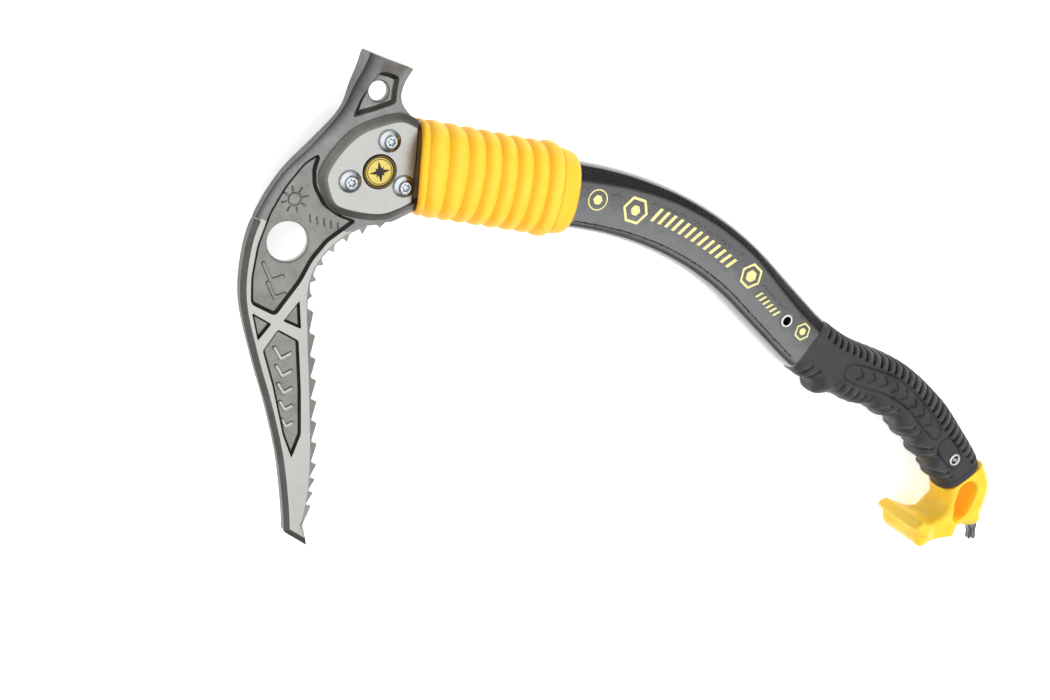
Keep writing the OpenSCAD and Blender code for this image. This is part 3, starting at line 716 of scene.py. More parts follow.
DULL_MARKS = [(chevron(-40.2 + 3.2 * i, -54.2 - 8.0 * i, 5.0 - 0.6 * i, 0.5), False, 1.0) for i in range(2)]
DULL_MARKS.append((circle(EMBLEM, 2.9, 24), True, 0.45))
DULL_MARKS += [(spoke(i, 4.1, 5.9), False, 0.5) for i in range(SPOKES)]
FIRST_BAR = np.array([(-28.5, -24.4), (-27.5, -27.2)])
DULL_MARKS += [(FIRST_BAR + [3.4 * i, -0.45 * i], False, 0.45) for i in range(5)]
MARKS = BRIGHT_MARKS + DULL_MARKS
MARK_RISE = 0.8
MARK_EDGE = 0.35
TOOTH_BEVEL = 0.9   # how far the teeth's bevels reach past their roots
NOTCH = (-53.3, -29.5)
FACE_CHAMFER = 1.2
FLANK_ROLL = 4.4     # how far the hammer flank rounds over at its outer edge


def spine_half(y):
    t = np.clip((y + 12) / (HAMMER_TOP + 12), 0, 1)
    return SPINE_HALF + (HAMMER_HALF - SPINE_HALF) * t * t * (1.6 - 0.6 * t)


def rim_width(y):
    t = np.clip((y - 2) / (HAMMER_TOP - 2), 0, 1)
    return RIM + (FLANK - RIM) * t**1.4


def outline_of_pick():
    teeth = small_teeth() + with_roots(BIG_TEETH, BIG_ROOT)
    return turned_left(np.vstack([SPINE, NOSE, teeth[::-1], [(10, -21.5)], BUTT[::-1], HAMMER_REAR[::-1]]))


def pick_height(points, pockets, land):
    """Half thickness of the pick at each point."""
    gap, on = nearest(points, PICK_BACK)
    rim = rim_width(on[:, 1])
    edge = spine_half(on[:, 1])
    top = np.where(gap < rim, edge + (LAND - edge) * (gap / rim) ** 0.9, LAND)
    top = top - FLANK_ROLL * ramp(points[:, 1], 2, 30) * np.clip(1 - gap / 8, 0, 1) ** 2
    beyond = -signed(points, land)
    toothed = (beyond > 0) & (gap > RIM) & (points[:, 1] < TEETH_BELOW)
    top = np.where(toothed, np.maximum(0.8, LAND - 0.62 * beyond), top)
    top = top - 0.9 * bump(np.linalg.norm(points - NOTCH, axis=1), 0, 2.4)
    for loop, floor, wall in pockets:
        depth = smooth(signed(points, loop) / wall)
        top = top + (floor - top) * depth
    for line, closed, half in MARKS:
        rise = 1 - smooth((nearest(points, line, closed)[0] - half + MARK_EDGE) / MARK_EDGE)
        top = top + MARK_RISE * rise
    below_face = HAMMER_TOP - points[:, 1] + (points[:, 0] - SPINE[0][0]) * -0.07
    top = top - FACE_CHAMFER * np.clip(1 - below_face / FACE_CHAMFER, 0, 1) * (points[:, 1] > 40)
    for middle, radius, _ in ROUND_HOLES:
        away = np.linalg.norm(points - middle, axis=1) - radius
        top = top - HOLE_CHAMFER * np.clip(1 - away / HOLE_CHAMFER, 0, 1)
    return top


def mark_outlines(line, closed, distance):
    """The closed outlines at a distance from a mark's line."""
    if not closed:
        return [around(line, distance)]
    middle = line.mean(0)
    radius = np.linalg.norm(line[0] - middle)
    return [circle(middle, radius + k * distance, 40) for k in (-1, 1)]


def pick_lines(outline, holes, roots, pockets):
    """The lines that the pick's mesh follows, each as (points, closed)."""
    lines = [(resample(outline, 0.9), True)] + [(hole, True) for hole in holes]
    lines += [(circle(middle, radius + HOLE_CHAMFER, n), True) for middle, radius, n in ROUND_HOLES]
    for loop, _, wall in pockets:
        loop = resample(loop, 0.8)
        lines += [(loop, True)] + [(offset(loop, wall * k), True) for k in (0.33, 0.67, 1)]
    dense = resample(PICK_BACK, 1.2, closed=False)
    inner = beside(dense, rim_width(dense[:, 1]))
    lines += [(inner[inner[:, 1] < RIM_LINE_TOP], False), (roots, False)]
    for line, closed, half in MARKS:
        for distance in (half, half - MARK_EDGE):
            lines += [(resample(loop, 0.7), True) for loop in mark_outlines(line, closed, distance)]
    return lines


def paint_pick(flat, triangles, rim, land, pockets):
    """The number in PICK_FINISHES of each face: the two sides, then the walls."""
    middle = flat[triangles].mean(1)
    y = middle[:, 1]
    gap, on = nearest(middle, PICK_BACK)
    in_land = inside(middle, land)
    paint = np.full(len(triangles), AS_FORGED)
    paint[(y < GROUND_FROM) & in_land] = AS_GROUND
    for loop, _, wall in pockets:
        depth = signed(middle, loop)
        # Pocket walls take the painted-shade groove colour.
        paint[depth > 0] = AS_GROOVE_SHADE
        paint[depth > wall * 0.97] = AS_POCKET
    for line, closed, half in BRIGHT_MARKS:
        paint[nearest(middle, line, closed)[0] < half - MARK_EDGE] = AS_GROUND
    # Bevels along the back below the notch take the painted-shade bevel colour.
    paint[(gap < rim_width(on[:, 1])) & (y < NOTCH[1])] = AS_SHADED_BEVEL
    paint[y > HAMMER_TOP - FACE_CHAMFER - 0.9] = AS_FORGED
    paint[~in_land & (y < TEETH_BELOW) & (gap > RIM)] = AS_TOOTH
    wall_middle = np.array([(flat[a] + flat[b]) / 2 for a, b in rim])
    on_back = nearest(wall_middle, PICK_BACK)[0] < 0.3
    walls = np.where(on_back, AS_SHADED_BEVEL, np.where(wall_middle[:, 1] < TEETH_BELOW, AS_TOOTH, AS_FORGED))
    return np.concatenate([paint, paint, walls])


def make_pick():
    outline = outline_of_pick()
    roots = beside(ROOTS, -TOOTH_BEVEL)
    roots = roots[roots[:, 1] > TIP[1] + 8]
    land = turned_left(np.vstack([PICK_BACK, roots[::-1], BUTT[::-1], HAMMER_REAR[::-1]]))
    pockets = [(turned_left(rounded(p, r)), floor, wall) for p, r, floor, wall in POCKETS]
    holes = [circle(*hole) for hole in ROUND_HOLES] + [circle(b, BOLT_HOLE_R, 24) for b in BOLTS]
    flat, triangles = fill(pick_lines(outline, holes, roots, pockets), between(outline, holes), 1.5)
    top = pick_height(flat, pockets, land)
    points, faces, _, rim = slab(flat, triangles, top, -top)
    # Painted shade: the forging is darker where it rolls over along the back, most of all on the hammer
    gap, _ = nearest(points[:, :2], PICK_BACK)
    roll = 3.2 + 5.8 * ramp(points[:, 1], 2, 34)
    rolled = np.clip(1 - gap / roll, 0, 1) ** 1.6 * ramp(points[:, 1], NOTCH[1] - 3, NOTCH[1])
    piece("pick", points, faces, PICK_FINISHES, "forged_steel", ["pick"], sharp=28,
          paint=paint_pick(flat, triangles, rim, land, pockets), flow=np.c_[points[:, :2], rolled])


# --- Cheek plates, bolts, nuts and badges ----------------------------------------------------

CHEEK_IN = 3.55
CHEEK_OUT = 6.75
CHEEK_EDGE = 0.8        # height of the plate's upright edge
CHEEK_BEVEL_W = 3.6
CHEEK_CURVE = spline([(17, 24.6), (12, 26.6), (3, 28.3), (-7, 24.6), (-17, 18.3), (-24.4, 8.4), (-29, -3.6),
                      (-26.6, -12.2), (-20.6, -19.8), (-9, -22), (4, -21.2), (13.6, -16.4), (19, -12)], 6)
CHEEK_TAIL = [(22, -5.1), (58, -5.1), (58, 14.9), (22, 14.9), (20, 22)]
HEAD_PINS = [(33, SHAFT_Y), (50, SHAFT_Y)]
HEAD_PIN_R = 3.05
BADGE_R = 7.8
SEAT_DEPTH = 1.2
# The plate steps down where it goes under the sleeve.
STEP = [(11.2, 22), (12.6, 13.8), (14.6, -1.9), (16.2, -13.5)]
STEP_DOWN = 1.5
STEP_RUN = 1.4


def past_step(points):
    x, y = np.array(STEP).T
    return points[:, 0] - np.interp(points[:, 1], y[::-1], x[::-1])


def make_cheek(side):
    name = "cheek_front" if side > 0 else "cheek_rear"
    outline = turned_left(np.vstack([CHEEK_CURVE, CHEEK_TAIL]))
    holes = [circle(b, BOLT_HOLE_R, 24) for b in BOLTS] + [circle(p, HEAD_PIN_R, 24) for p in HEAD_PINS]
    heading = unit(np.gradient(CHEEK_CURVE, axis=0))
    inward = np.c_[-heading[:, 1], heading[:, 0]]
    lines = [(resample(outline, 1.0), True)] + [(hole, True) for hole in holes]
    lines += [(CHEEK_CURVE + inward * CHEEK_BEVEL_W * k, False) for k in (0.5, 0.9, 1, 1.1)]
    lines += [(circle(BADGE, BADGE_R - k, 64), True) for k in (-0.35, -0.1, 0, 0.15)]
    lines += [(resample(np.array(STEP) + [k, 0], 1.0, False), False) for k in (0, STEP_RUN)]
    flat, triangles = fill(lines, between(outline, holes), 2.0)
    gap, _ = nearest(flat, CHEEK_CURVE)
    rise = np.clip(gap / CHEEK_BEVEL_W, 0, 1)
    height = CHEEK_IN + CHEEK_EDGE + (CHEEK_OUT - CHEEK_IN - CHEEK_EDGE) * (rise - 0.06 * bump(rise, 1, 0.12))
    away = np.linalg.norm(flat - BADGE, axis=1)
    height = height - SEAT_DEPTH * np.clip((BADGE_R + 0.1 - away) / 0.25, 0, 1)
    height = height - 0.25 * bump(away, BADGE_R, 0.35)
    height = height - STEP_DOWN * np.clip(past_step(flat) / STEP_RUN, 0, 1)
    points, faces, n, rim = slab(flat, triangles, height, np.full(len(flat), CHEEK_IN))
    middle = flat[triangles].mean(1)
    gap, _ = nearest(middle, CHEEK_CURVE)
    # The bevel and the walls take the darker cheek colour, painted shade for surfaces turned from the light.
    paint = np.where(gap < CHEEK_BEVEL_W, 1, 0)
    points[:, 2] *= side
    return piece(name, points, faces, [CHEEK, CHEEK_BEVEL_SHADE], "cheek_steel", [name], sharp=24,
                 paint=np.concatenate([paint, np.zeros(n), np.ones(len(rim))]))


HEAD_R = 5.25
HEAD_H = 3.3
SOCKET_R = 1.6
SOCKET_DEPTH = 2.1
# Button head from its flange up and over the dome: (radius, height)
DOME = [(4.6, 0.0), (HEAD_R - 0.1, 0.0), (HEAD_R, 0.15), (HEAD_R, 0.6), (HEAD_R - 0.12, 0.82), (4.85, 1.0),
        (4.2, 1.4), (3.5, 1.78), (3.1, 1.98), (2.92, 2.2), (2.86, 2.6), (2.8, 3.0), (2.66, 3.2),
        (2.5, HEAD_H)]


def six_lobed(k, angle, first, depth=0.13):
    """Scale that turns the rings from number first into a six-lobed socket."""
    return 1 + (depth * np.cos(6 * angle) if k >= first else 0)


def button(middle, shank, side, lobes=0.13):
    """A button-head bolt with a six-lobed socket, seated on the cheek plate, and its shank."""
    shank_r = 3.0
    profile = [(1.5, -shank), (shank_r - 0.4, -shank), (shank_r, -shank + 0.4), (shank_r, 0.0)] + DOME
    first = len(profile)
    floor = HEAD_H - SOCKET_DEPTH
    profile += [(SOCKET_R + 0.25, HEAD_H), (SOCKET_R, HEAD_H - 0.2), (SOCKET_R * 0.97, floor + 0.1),
                (SOCKET_R * 0.8, floor - 0.1), (0.3, floor - 0.5)]
    rings = turned(profile, 48, lambda k, a: six_lobed(k, a, first, lobes))
    points, faces = skin(rings)
    points = points + [middle[0], middle[1], CHEEK_OUT + 0.02]
    points[:, 2] *= side
    return points, faces


def make_bolts():
    bolts = join([button(b, 2 * CHEEK_OUT, 1) for b in BOLTS])
    piece("pick_bolts", *bolts, [ZINC], "zinc", ["pick_bolts"])
    nuts = join([button(b, 0.3, -1, 0.05) for b in BOLTS])
    piece("pick_nuts", *nuts, [ZINC], "zinc", ["pick_nuts"])


def star(tips, outer, inner, turn=0.0):
    """Closed outline of a star, counter-clockwise."""
    a = (np.arange(2 * tips) * math.pi / tips) + turn
    r = np.where(np.arange(2 * tips) % 2 == 0, outer, inner)
    return np.c_[BADGE[0] + r * np.cos(a), BADGE[1] + r * np.sin(a)]


def make_badge(side):
    """A gold disc in a dark ring, with an inlaid four-pointed star on its domed face."""
    word = "front" if side > 0 else "rear"
    seat = CHEEK_OUT - SEAT_DEPTH + 0.02
    rim = [(0.4, 0.0), (BADGE_R - 0.3, 0.0), (BADGE_R - 0.15, 0.15), (BADGE_R - 0.15, 1.35),
           (BADGE_R - 0.45, 1.7), (BADGE_R - 0.95, 1.7), (BADGE_R - 1.35, 1.35), (BADGE_R - 1.4, 0.95),
           (0.4, 0.95)]
    points, faces = skin(turned(rim, 72))
    points = points + [BADGE[0], BADGE[1], seat]
    points[:, 2] *= side
    piece("badge_" + word, points, faces, [BRONZE], "badge_metal", ["badge_" + word])

    face_r = BADGE_R - 1.45
    outline = circle(BADGE, face_r, 64)
    emblem = [star(4, 5.2, 1.5, math.radians(20)), star(4, 3.0, 1.2, math.radians(65))]
    ring = [circle(BADGE, r, 64) for r in (5.9, 5.5)]
    lines = [(outline, True)] + [(resample(e, 0.8), True) for e in emblem] + [(r, True) for r in ring]
    flat, triangles = fill(lines, between(outline, []), 0.9)
    away = np.linalg.norm(flat - BADGE, axis=1)
    crown = seat + 1.0 + 0.55 * (1 - (away / face_r) ** 2)
    points, faces, _, edge = slab(flat, triangles, crown, np.full(len(flat), seat + 0.96))
    middle = flat[triangles].mean(1)
    dark = inside(middle, emblem[0]) | inside(middle, emblem[1])
    reach = np.linalg.norm(middle - BADGE, axis=1)
    dark |= (reach > 5.5) & (reach < 5.9)
    points[:, 2] *= side
    piece("badge_face_" + word, points, faces, [BADGE_FACE, ENAMEL], "resin", ["badge_lens_" + word],
          paint=np.concatenate([dark, dark, np.zeros(len(edge))]).astype(int))


# --- Upper sleeve --------------------------------------------------------------------------

SLEEVE_START = 16.3
RIB_FIRST = 20.3
RIB_PITCH = 8.25
RIBS = 7
RIB_LAST = RIB_FIRST + RIBS * RIB_PITCH
RIB_R = 16.6
VALLEY_R = 15.2
SLEEVE_END = 86.6
COLLAR_END = 97.4
WIDER = 5.7           # how much wider than thick the sleeve is, each side
SLEEVE_POWER = 2.25
TUBE_W = 16.2
TUBE_T = 10.0
TUBE_POWER = 3.2
SLEEVE_SIDES = 120


def sleeve_profile():
    """Outer half thickness along the sleeve, from its rounded lip to the parting line."""
    lip = [(16.35, 14.3), (16.4, 14.9), (16.7, 15.5), (17.2, 16.0), (17.9, 16.3), (18.7, 16.2), (19.5, 15.8)]
    ribs = []
    for i in range(RIBS):
        for t in np.linspace(0, 1, 14, endpoint=False):
            swell = abs(math.sin(math.pi * t**0.9)) ** 0.75
            ribs.append((RIB_FIRST + (i + t) * RIB_PITCH, VALLEY_R + (RIB_R - VALLEY_R) * swell))
    last = [(RIB_LAST, 15.5), (RIB_LAST + 0.9, 16.3), (RIB_LAST + 2, 16.9), (RIB_LAST + 3.6, 17.25),
            (RIB_LAST + 5.2, 17.3), (RIB_LAST + 6.6, 17.0), (SLEEVE_END - 0.8, 16.3),
            (SLEEVE_END - 0.25, 15.6), (SLEEVE_END - 0.1, 14.6)]
    return lip + ribs + last


def sleeve_ring(x, width, height, power=SLEEVE_POWER):
    """A ring across the upper shaft that leans back, most of all at the lip."""
    mouth = 1 - smooth((x - SLEEVE_START) / 26)
    v, z = superellipse(width, height, power, SLEEVE_SIDES)
    return np.c_[x - (0.058 + 0.1 * mouth) * v - 3.8 * mouth * (z / RIB_R) ** 2, SHAFT_Y + v, z]


HIGHLIGHT_SHIFT = 1.4   # how far past each rib's crest, away from the head, its painted highlight lies


def make_sleeve():
    profile = sleeve_profile()
    rings = [sleeve_ring(x, r + WIDER, r) for x, r in profile]
    x, r = np.array(profile).T
    # Painted light: the tone is the rib height read a little way back towards the head, so the painted
    # highlight sits past each crest and the valleys take painted shade.
    height = ((np.interp(x - HIGHLIGHT_SHIFT, x, r) - VALLEY_R) / (RIB_R - VALLEY_R)).tolist()
    bore = [(SLEEVE_END - 0.1, TUBE_W, TUBE_T), (30, TUBE_W, TUBE_T), (28, 16.8, 10.8), (24, 18.0, 12.6),
            (19, 19.0, 13.4), (17, 19.5, 13.8)]
    rings += [sleeve_ring(x, w, h, 2.6) for x, w, h in bore]
    # The inside of the sleeve takes full painted shade.
    height += [-0.5] * len(bore)
    points, faces = skin(rings, closed=True)
    tone = np.repeat(np.clip(height, 0, 1), SLEEVE_SIDES)
    piece("upper_grip", points, faces, [SLEEVE], "yellow_rubber", ["upper_grip"], 50,
          flow=np.c_[points[:, :2], tone])

    collar = [(SLEEVE_END + 0.1, 14.4), (SLEEVE_END + 0.25, 15.0), (SLEEVE_END + 0.7, 15.3), (89, 15.15),
              (91.5, 14.8), (93.6, 14.4), (95, 13.9), (96.1, 13.2), (96.9, 12.3), (97.3, 11.3),
              (COLLAR_END, 10.5)]
    rings = [sleeve_ring(x, r + WIDER, r) for x, r in collar]
    rings += [sleeve_ring(x, TUBE_W, TUBE_T, TUBE_POWER) for x in (COLLAR_END, SLEEVE_END + 0.1)]
    points, faces = skin(rings, closed=True)
    # The collar takes one fixed tone, partway to the painted highlight.
    piece("upper_grip_collar", points, faces, [SLEEVE], "yellow_rubber", ["upper_grip_collar"], 50,
          flow=np.c_[points[:, :2], np.full(len(points), 0.75)])


# --- Shaft tube, its print and its eyelets ---------------------------------------------------

TUBE_START = 22
TUBE_END = 276
TUBE_WALL = 2.2
TUBE_SIDES = 96
GRIP_START = 272.5
NECK_W = 12.8
NECK_T = 8.7
UPPER_EYELET = (249, 0)     # (distance along, sideways)
LOWER_EYELET = (414, -2)


# Where the flat side of the tube turns down to its back: (distance along, sideways)
FLAT_EDGE = [(96, 6.6), (108, 7), (118, 7.6), (130, 8.5), (153, 9.9), (179, 10.6), (210, 10.6), (235, 9.2),
             (252, 8.5)]


def tube_section(s):
    """The tube's eight-sided section with rounded corners, as (sideways, up)."""
    edge = np.interp(s, *np.array(FLAT_EDGE).T)
    drop = 9.6 - 0.62 * (15.0 - edge)
    half = [(16.2, 0), (16.1, 0.4 * drop), (15.4, drop), (edge + 0.8, 9.65), (edge - 0.8, 10), (-11.8, 10),
            (-14.6, 8.6), (-15.9, 6.0), (-16.2, 2.8)]
    loop = rounded(half + [(v, -z) for v, z in half[:0:-1]], 1.4, 3)
    length = np.linalg.norm(np.diff(loop, axis=0), axis=1).sum()
    return resample(np.roll(loop, -2, 0), length / (TUBE_SIDES + 4))


def even(loop, sides):
    """The loop with an exact number of evenly spaced points."""
    p = np.vstack([loop, loop[:1]])
    run = np.r_[0, np.cumsum(np.linalg.norm(np.diff(p, axis=0), axis=1))]
    at = np.linspace(0, run[-1], sides + 1)[:-1]
    return np.c_[np.interp(at, run, p[:, 0]), np.interp(at, run, p[:, 1])], at


def make_tube():
    s = np.r_[np.arange(TUBE_START, TUBE_END, 1.0), np.arange(TUBE_END, 300, 4)]
    narrow = ramp(s, GRIP_START + 0.5, GRIP_START + 4)
    bore = np.c_[superellipse(NECK_W - TUBE_WALL, NECK_T - TUBE_WALL, TUBE_POWER, 80)]
    sections = [(at, tube_section(at), 1 + (NECK_W / TUBE_W - 1) * n) for at, n in zip(s, narrow)]
    sections += [(at, bore, 1) for at in s[::-6]]
    rings, flow = [], []
    for at, section, scale in sections:
        loop, run = even(section, TUBE_SIDES)
        loop = loop * scale
        rings.append(on_shaft(at, loop[:, 0], loop[:, 1]))
        flow.append(np.c_[np.full(len(run), at), run, loop[:, 0]])
    points, faces = skin(rings, closed=True)
    obj = piece("shaft_tube", points, faces, [CARBON], "carbon", ["shaft_tube"], 45, flow=np.vstack(flow))
    bored(obj, *UPPER_EYELET)


def tube_top(s, v):
    """Height of the tube's upper side at each (s, v)."""
    high = np.zeros(len(s))
    for i, (a, b) in enumerate(zip(s, v)):
        loop = tube_section(a)
        upper = loop[loop[:, 1] > 0]
        upper = upper[np.argsort(upper[:, 0])]
        high[i] = np.interp(b, upper[:, 0], upper[:, 1])
    return high


def bored(obj, s, v):
    """Cut an eyelet's hole through a piece."""
    x, y, _ = on_shaft(s, v, 0.0)
    radius = EYELET_R + 0.45
    points, faces = skin(turned([(radius, -30), (radius, 30)], 48))
    mesh = solid("cutter", points + [x, y, 0], faces)
    face_out(mesh)
    cutter = in_scene("cutter", mesh)
    cut = obj.modifiers.new("bore", "BOOLEAN")
    cut.object = cutter
    cut.operation = "DIFFERENCE"
    cut.solver = "EXACT"
    bpy.context.view_layer.update()
    done = bpy.data.meshes.new_from_object(obj.evaluated_get(bpy.context.evaluated_depsgraph_get()))
    obj.modifiers.clear()
    obj.data = done
    bpy.data.objects.remove(cutter)


INK_PROUD = 0.06


def on_tube(flat, triangles, side=1):
    """A thin solid over flat triangles of (distance along, sideways), on one side of the tube."""
    z = tube_top(*flat.T)
    points, faces, *_ = slab(flat, triangles, z + INK_PROUD, z - INK_PROUD)
    return on_shaft(points[:, 0], points[:, 1], points[:, 2] * side), faces


def printed(name, shapes, material):
    """Flat shapes of (distance along, sideways) printed on the tube. A shape may be (outer, hole)."""
    parts = []
    for shape in shapes:
        outer, *holes = shape if isinstance(shape, tuple) else (shape,)
        lines = [(resample(loop, 1.0), True) for loop in (outer, *holes)]
        parts.append(on_tube(*fill(lines, between(outer, holes), 1.6)))
    piece(name, *join(parts), [material], "carbon")


def bar(s, v, width, height, slant=0.4):
    """A slanting bar, as its four corners."""
    h = height / 2
    return np.array([(s - width / 2 - slant * h, v - h), (s + width / 2 - slant * h, v - h),
                     (s + width / 2 + slant * h, v + h), (s - width / 2 + slant * h, v + h)])


def hoop(s, v, radius, stroke, n=48):
    return circle((s, v), radius, n), circle((s, v), radius - stroke, n)


def print_marks():
    """Pale marks along the shaft: rings, hexagons and rows of slanting bars."""
    marks = [hoop(108.5, 0.7, 5.3, 0.6), circle((108.5, 0.7), 2.6, 6)]
    marks += [hoop(130.5, 0.2, 7.4, 1.5, 6), circle((130.5, 0.2), 2.8, 6)]
    for i in range(13):
        s = 143 + 4.5 * i
        marks.append(bar(s, 0.9 - 0.03 * (s - 170), 1.9, 7.6 - 0.12 * i))
    marks += [hoop(212, 2.2, 7.0, 1.3, 6), circle((212, 2.2), 3.4, 6)]
    marks += [bar(224 + 3.3 * i, -1.4, 1.2, 4.2) for i in range(6)]
    marks += [hoop(262, 2.4, 5.2, 1.0, 6), circle((262, 2.4), 2.2, 6)]
    printed("print_pale", marks, INK)


def print_specks():
    """Small dark marks: rows of ticks over the pale marks, and the ragged resin line near the finger side."""
    rng = np.random.default_rng(7)
    ticks = []
    for start, end, v in ((99, 104, 5.6), (115, 122, 4.8), (138, 200, 6.6), (222, 244, 3.6), (254, 270, 6.4)):
        for s in np.arange(start, end, 1.1):
            ticks.append(bar(s, v + rng.uniform(-0.9, 0.9), 0.4, rng.uniform(0.5, 1.5), 0.8))
    printed("print_dark", ticks, DARK_INK)
    s = np.arange(99, 268, 1.1)
    middle = -11.2 + 0.25 * np.sin(s / 23)
    ragged = rng.uniform(0.1, 0.55, (2, len(s)))
    line = np.vstack([np.c_[s, middle - ragged[0]], np.c_[s, middle + ragged[1]][::-1]])
    flat, triangles = fill([(line, True)], between(line, []), 2.0)
    piece("resin_line", *join([on_tube(flat, triangles, side) for side in (1, -1)]), [DARK_INK], "carbon")


EYELET_R = 2.35
LIP_R = 2.12         # inner edge of the rolled flange
FLANGE_R = 3.95


def make_eyelet(name, at, half, wall):
    """A tubular rivet with a rolled flange in front, and its washer behind."""
    x, y, _ = on_shaft(*at, 0.0)
    barrel = EYELET_R + 0.5
    rolled = [(EYELET_R, -half - 1), (barrel, -half - 1), (barrel, half), (FLANGE_R, half),
              (FLANGE_R, half + 0.3), (FLANGE_R - 0.12, half + 0.55), (FLANGE_R - 0.35, half + 0.72),
              (FLANGE_R - 0.85, half + 0.85), (LIP_R + 0.45, half + 0.8), (LIP_R + 0.15, half + 0.62),
              (LIP_R, half + 0.3), (EYELET_R, half - 0.3)]
    points, faces = skin(turned(rolled, 64), closed=True)
    bore = np.linalg.norm(points[np.array(faces)].mean(1)[:, :2], axis=1) < EYELET_R
    piece(name, points + [x, y, 0], faces, [BRIGHT, wall], "bright_eyelet", [name], paint=bore.astype(int))
    washer = [(barrel + 0.05, -half), (FLANGE_R, -half), (FLANGE_R, -half - 0.4),
              (FLANGE_R - 0.4, -half - 0.85), (barrel + 0.05, -half - 0.9)]
    points, faces = skin(turned(washer, 64), closed=True)
    piece(name + "_washer", points + [x, y, 0], faces, [BRIGHT], "bright_eyelet", [name + "_washer"])


# --- Lower grip ----------------------------------------------------------------------------

GRIP_END = 433.6
GRIP_SIDES = 208
GRIP_STEP = 0.45
GRIP_HALF_T = 12
BACK_RIBS = 27
BACK_FIRST = 277.5
BACK_LAST = 428
# Where the back ribs end, towards the middle of the side: (distance along, sideways)
RIB_ENDS = [(277, 9.8), (290, 8.6), (306, 9.2), (322, 7.9), (340, 7.6), (358, 6.4), (376, 4.3), (392, 3.2),
            (408, 4.8), (424, 6.8)]
# Deep crescent cuts on the finger side: (start at the edge, end on the side face, depth)
CUTS = [(280.5, 283, 0.8), (285.8, 288.5, 0.9), (339.5, 347, 1.1), (348.5, 353.5, 1.1), (366.8, 372, 1.2),
        (376, 378.7, 1.2), (387.8, 394.7, 1.2), (395.8, 401.5, 1.2), (412, 419, 1.2), (421, 424.5, 1.1)]
CUTS += [(306.8 + 5.6 * i, 306.8 + 5.8 * i, 0.7) for i in range(5)]
# Finger swells: (middle, half length, height)
SWELLS = [(320, 18, 1.9), (346, 13, 1.3), (372, 12, 2.1), (396, 12, 2.1), (417, 11, 1.6)]
LEDGE = (289.5, 295.5, 308)
LEDGE_H = 4.8
PANEL = spline([(302, -0.5), (304, 3.4), (309, 5.3), (322, 6.3), (336, 7.0), (350, 6.2), (364, 4.9),
                (378, 3.5), (387, 2.6), (391, 0.8), (392.5, -1.8), (391, -5), (386.5, -6.4), (376, -5.9),
                (363, -4.9), (350, -4.5), (338, -5.0), (322, -5.8), (309, -5.9), (304, -4.2)],
               4, closed=True)
EYELET_PANEL = spline([(396.5, -1.5), (397.8, 2.4), (402, 4.3), (412, 4.4), (418.5, 2.9), (421, -1.2),
                       (419.4, -5.2), (412, -7.2), (402, -7.4), (398, -5.6)], 4, closed=True)
FIRST_ARROW = np.array([(312.5, 3.2), (316.3, 0), (312.5, -3.2)])
ARROW_RISES = (0.1, 0.6, 0.9, 1.0, 0.7, 0.2, -0.4, -1.2)
PANEL_MARKS = [FIRST_ARROW + [9.3 * i, rise] for i, rise in enumerate(ARROW_RISES)]


def finger_form(s, z, finger):
    """Height of the finger swells and of the ledge above them."""
    ledge = np.where(s < LEDGE[1], ramp(s, LEDGE[0], LEDGE[1]), 1 - ramp(s, LEDGE[1], LEDGE[2]))
    form = LEDGE_H * ledge * (1 - 0.25 * ramp(np.abs(z), 4, 8))
    for middle, half, height in SWELLS:
        form = form + height * bump(s, middle, half)
    return form * finger


def grip_relief(s, v, z):
    """Height of the back ribs and the finger cuts, at s along and (v, z) on the section."""
    face = ramp(np.abs(z), 4, 8)
    phase = (s - BACK_FIRST - 3.2 * face) / ((BACK_LAST - BACK_FIRST) / BACK_RIBS)
    on_ribs = ramp(s, BACK_FIRST - 1, BACK_FIRST + 1) * (1 - ramp(s, BACK_LAST, BACK_LAST + 1.5))
    end = np.interp(s, *np.array(RIB_ENDS).T)
    gap = np.abs(phase - np.round(phase)) * (BACK_LAST - BACK_FIRST) / BACK_RIBS
    grooves = 0.6 - 2.4 * np.exp(-((gap / 0.85) ** 2)) - 0.08 * (gap - 2.7) ** 2
    relief = on_ribs * ramp(v, end - 0.5, end + 1.2) * grooves
    for start, finish, depth in CUTS:
        across = np.clip((-v - 9) / 7, 0, 1)
        gap = s - (finish + (start - finish) * across**0.8)
        cut = -1.9 * depth * np.exp(-((gap / 0.75) ** 2)) + 0.8 * depth * np.exp(-(((gap + 2.1) / 1.3) ** 2))
        relief = relief + cut * ramp(-v, 6.8, 9.6)
    return relief


def panel_relief(s, v):
    """Fine grooves of the two panels and the strokes in the longer one."""
    flat = np.c_[s.ravel(), v.ravel()]
    near = (flat[:, 0] > 299) & (np.abs(flat[:, 1]) < 10)
    depth = np.zeros(len(flat))
    p = flat[near]
    cut = np.zeros(len(p))
    for loop in (PANEL, EYELET_PANEL):
        cut -= 0.8 * np.exp(-((nearest(p, loop, True)[0] / 0.5) ** 2))
    cut -= 0.25 * smooth(signed(p, PANEL) / 0.5)
    for stroke in PANEL_MARKS:
        cut -= 0.75 * np.exp(-((nearest(p, stroke)[0] / 0.6) ** 2))
    depth[near] = cut
    return depth.reshape(s.shape)


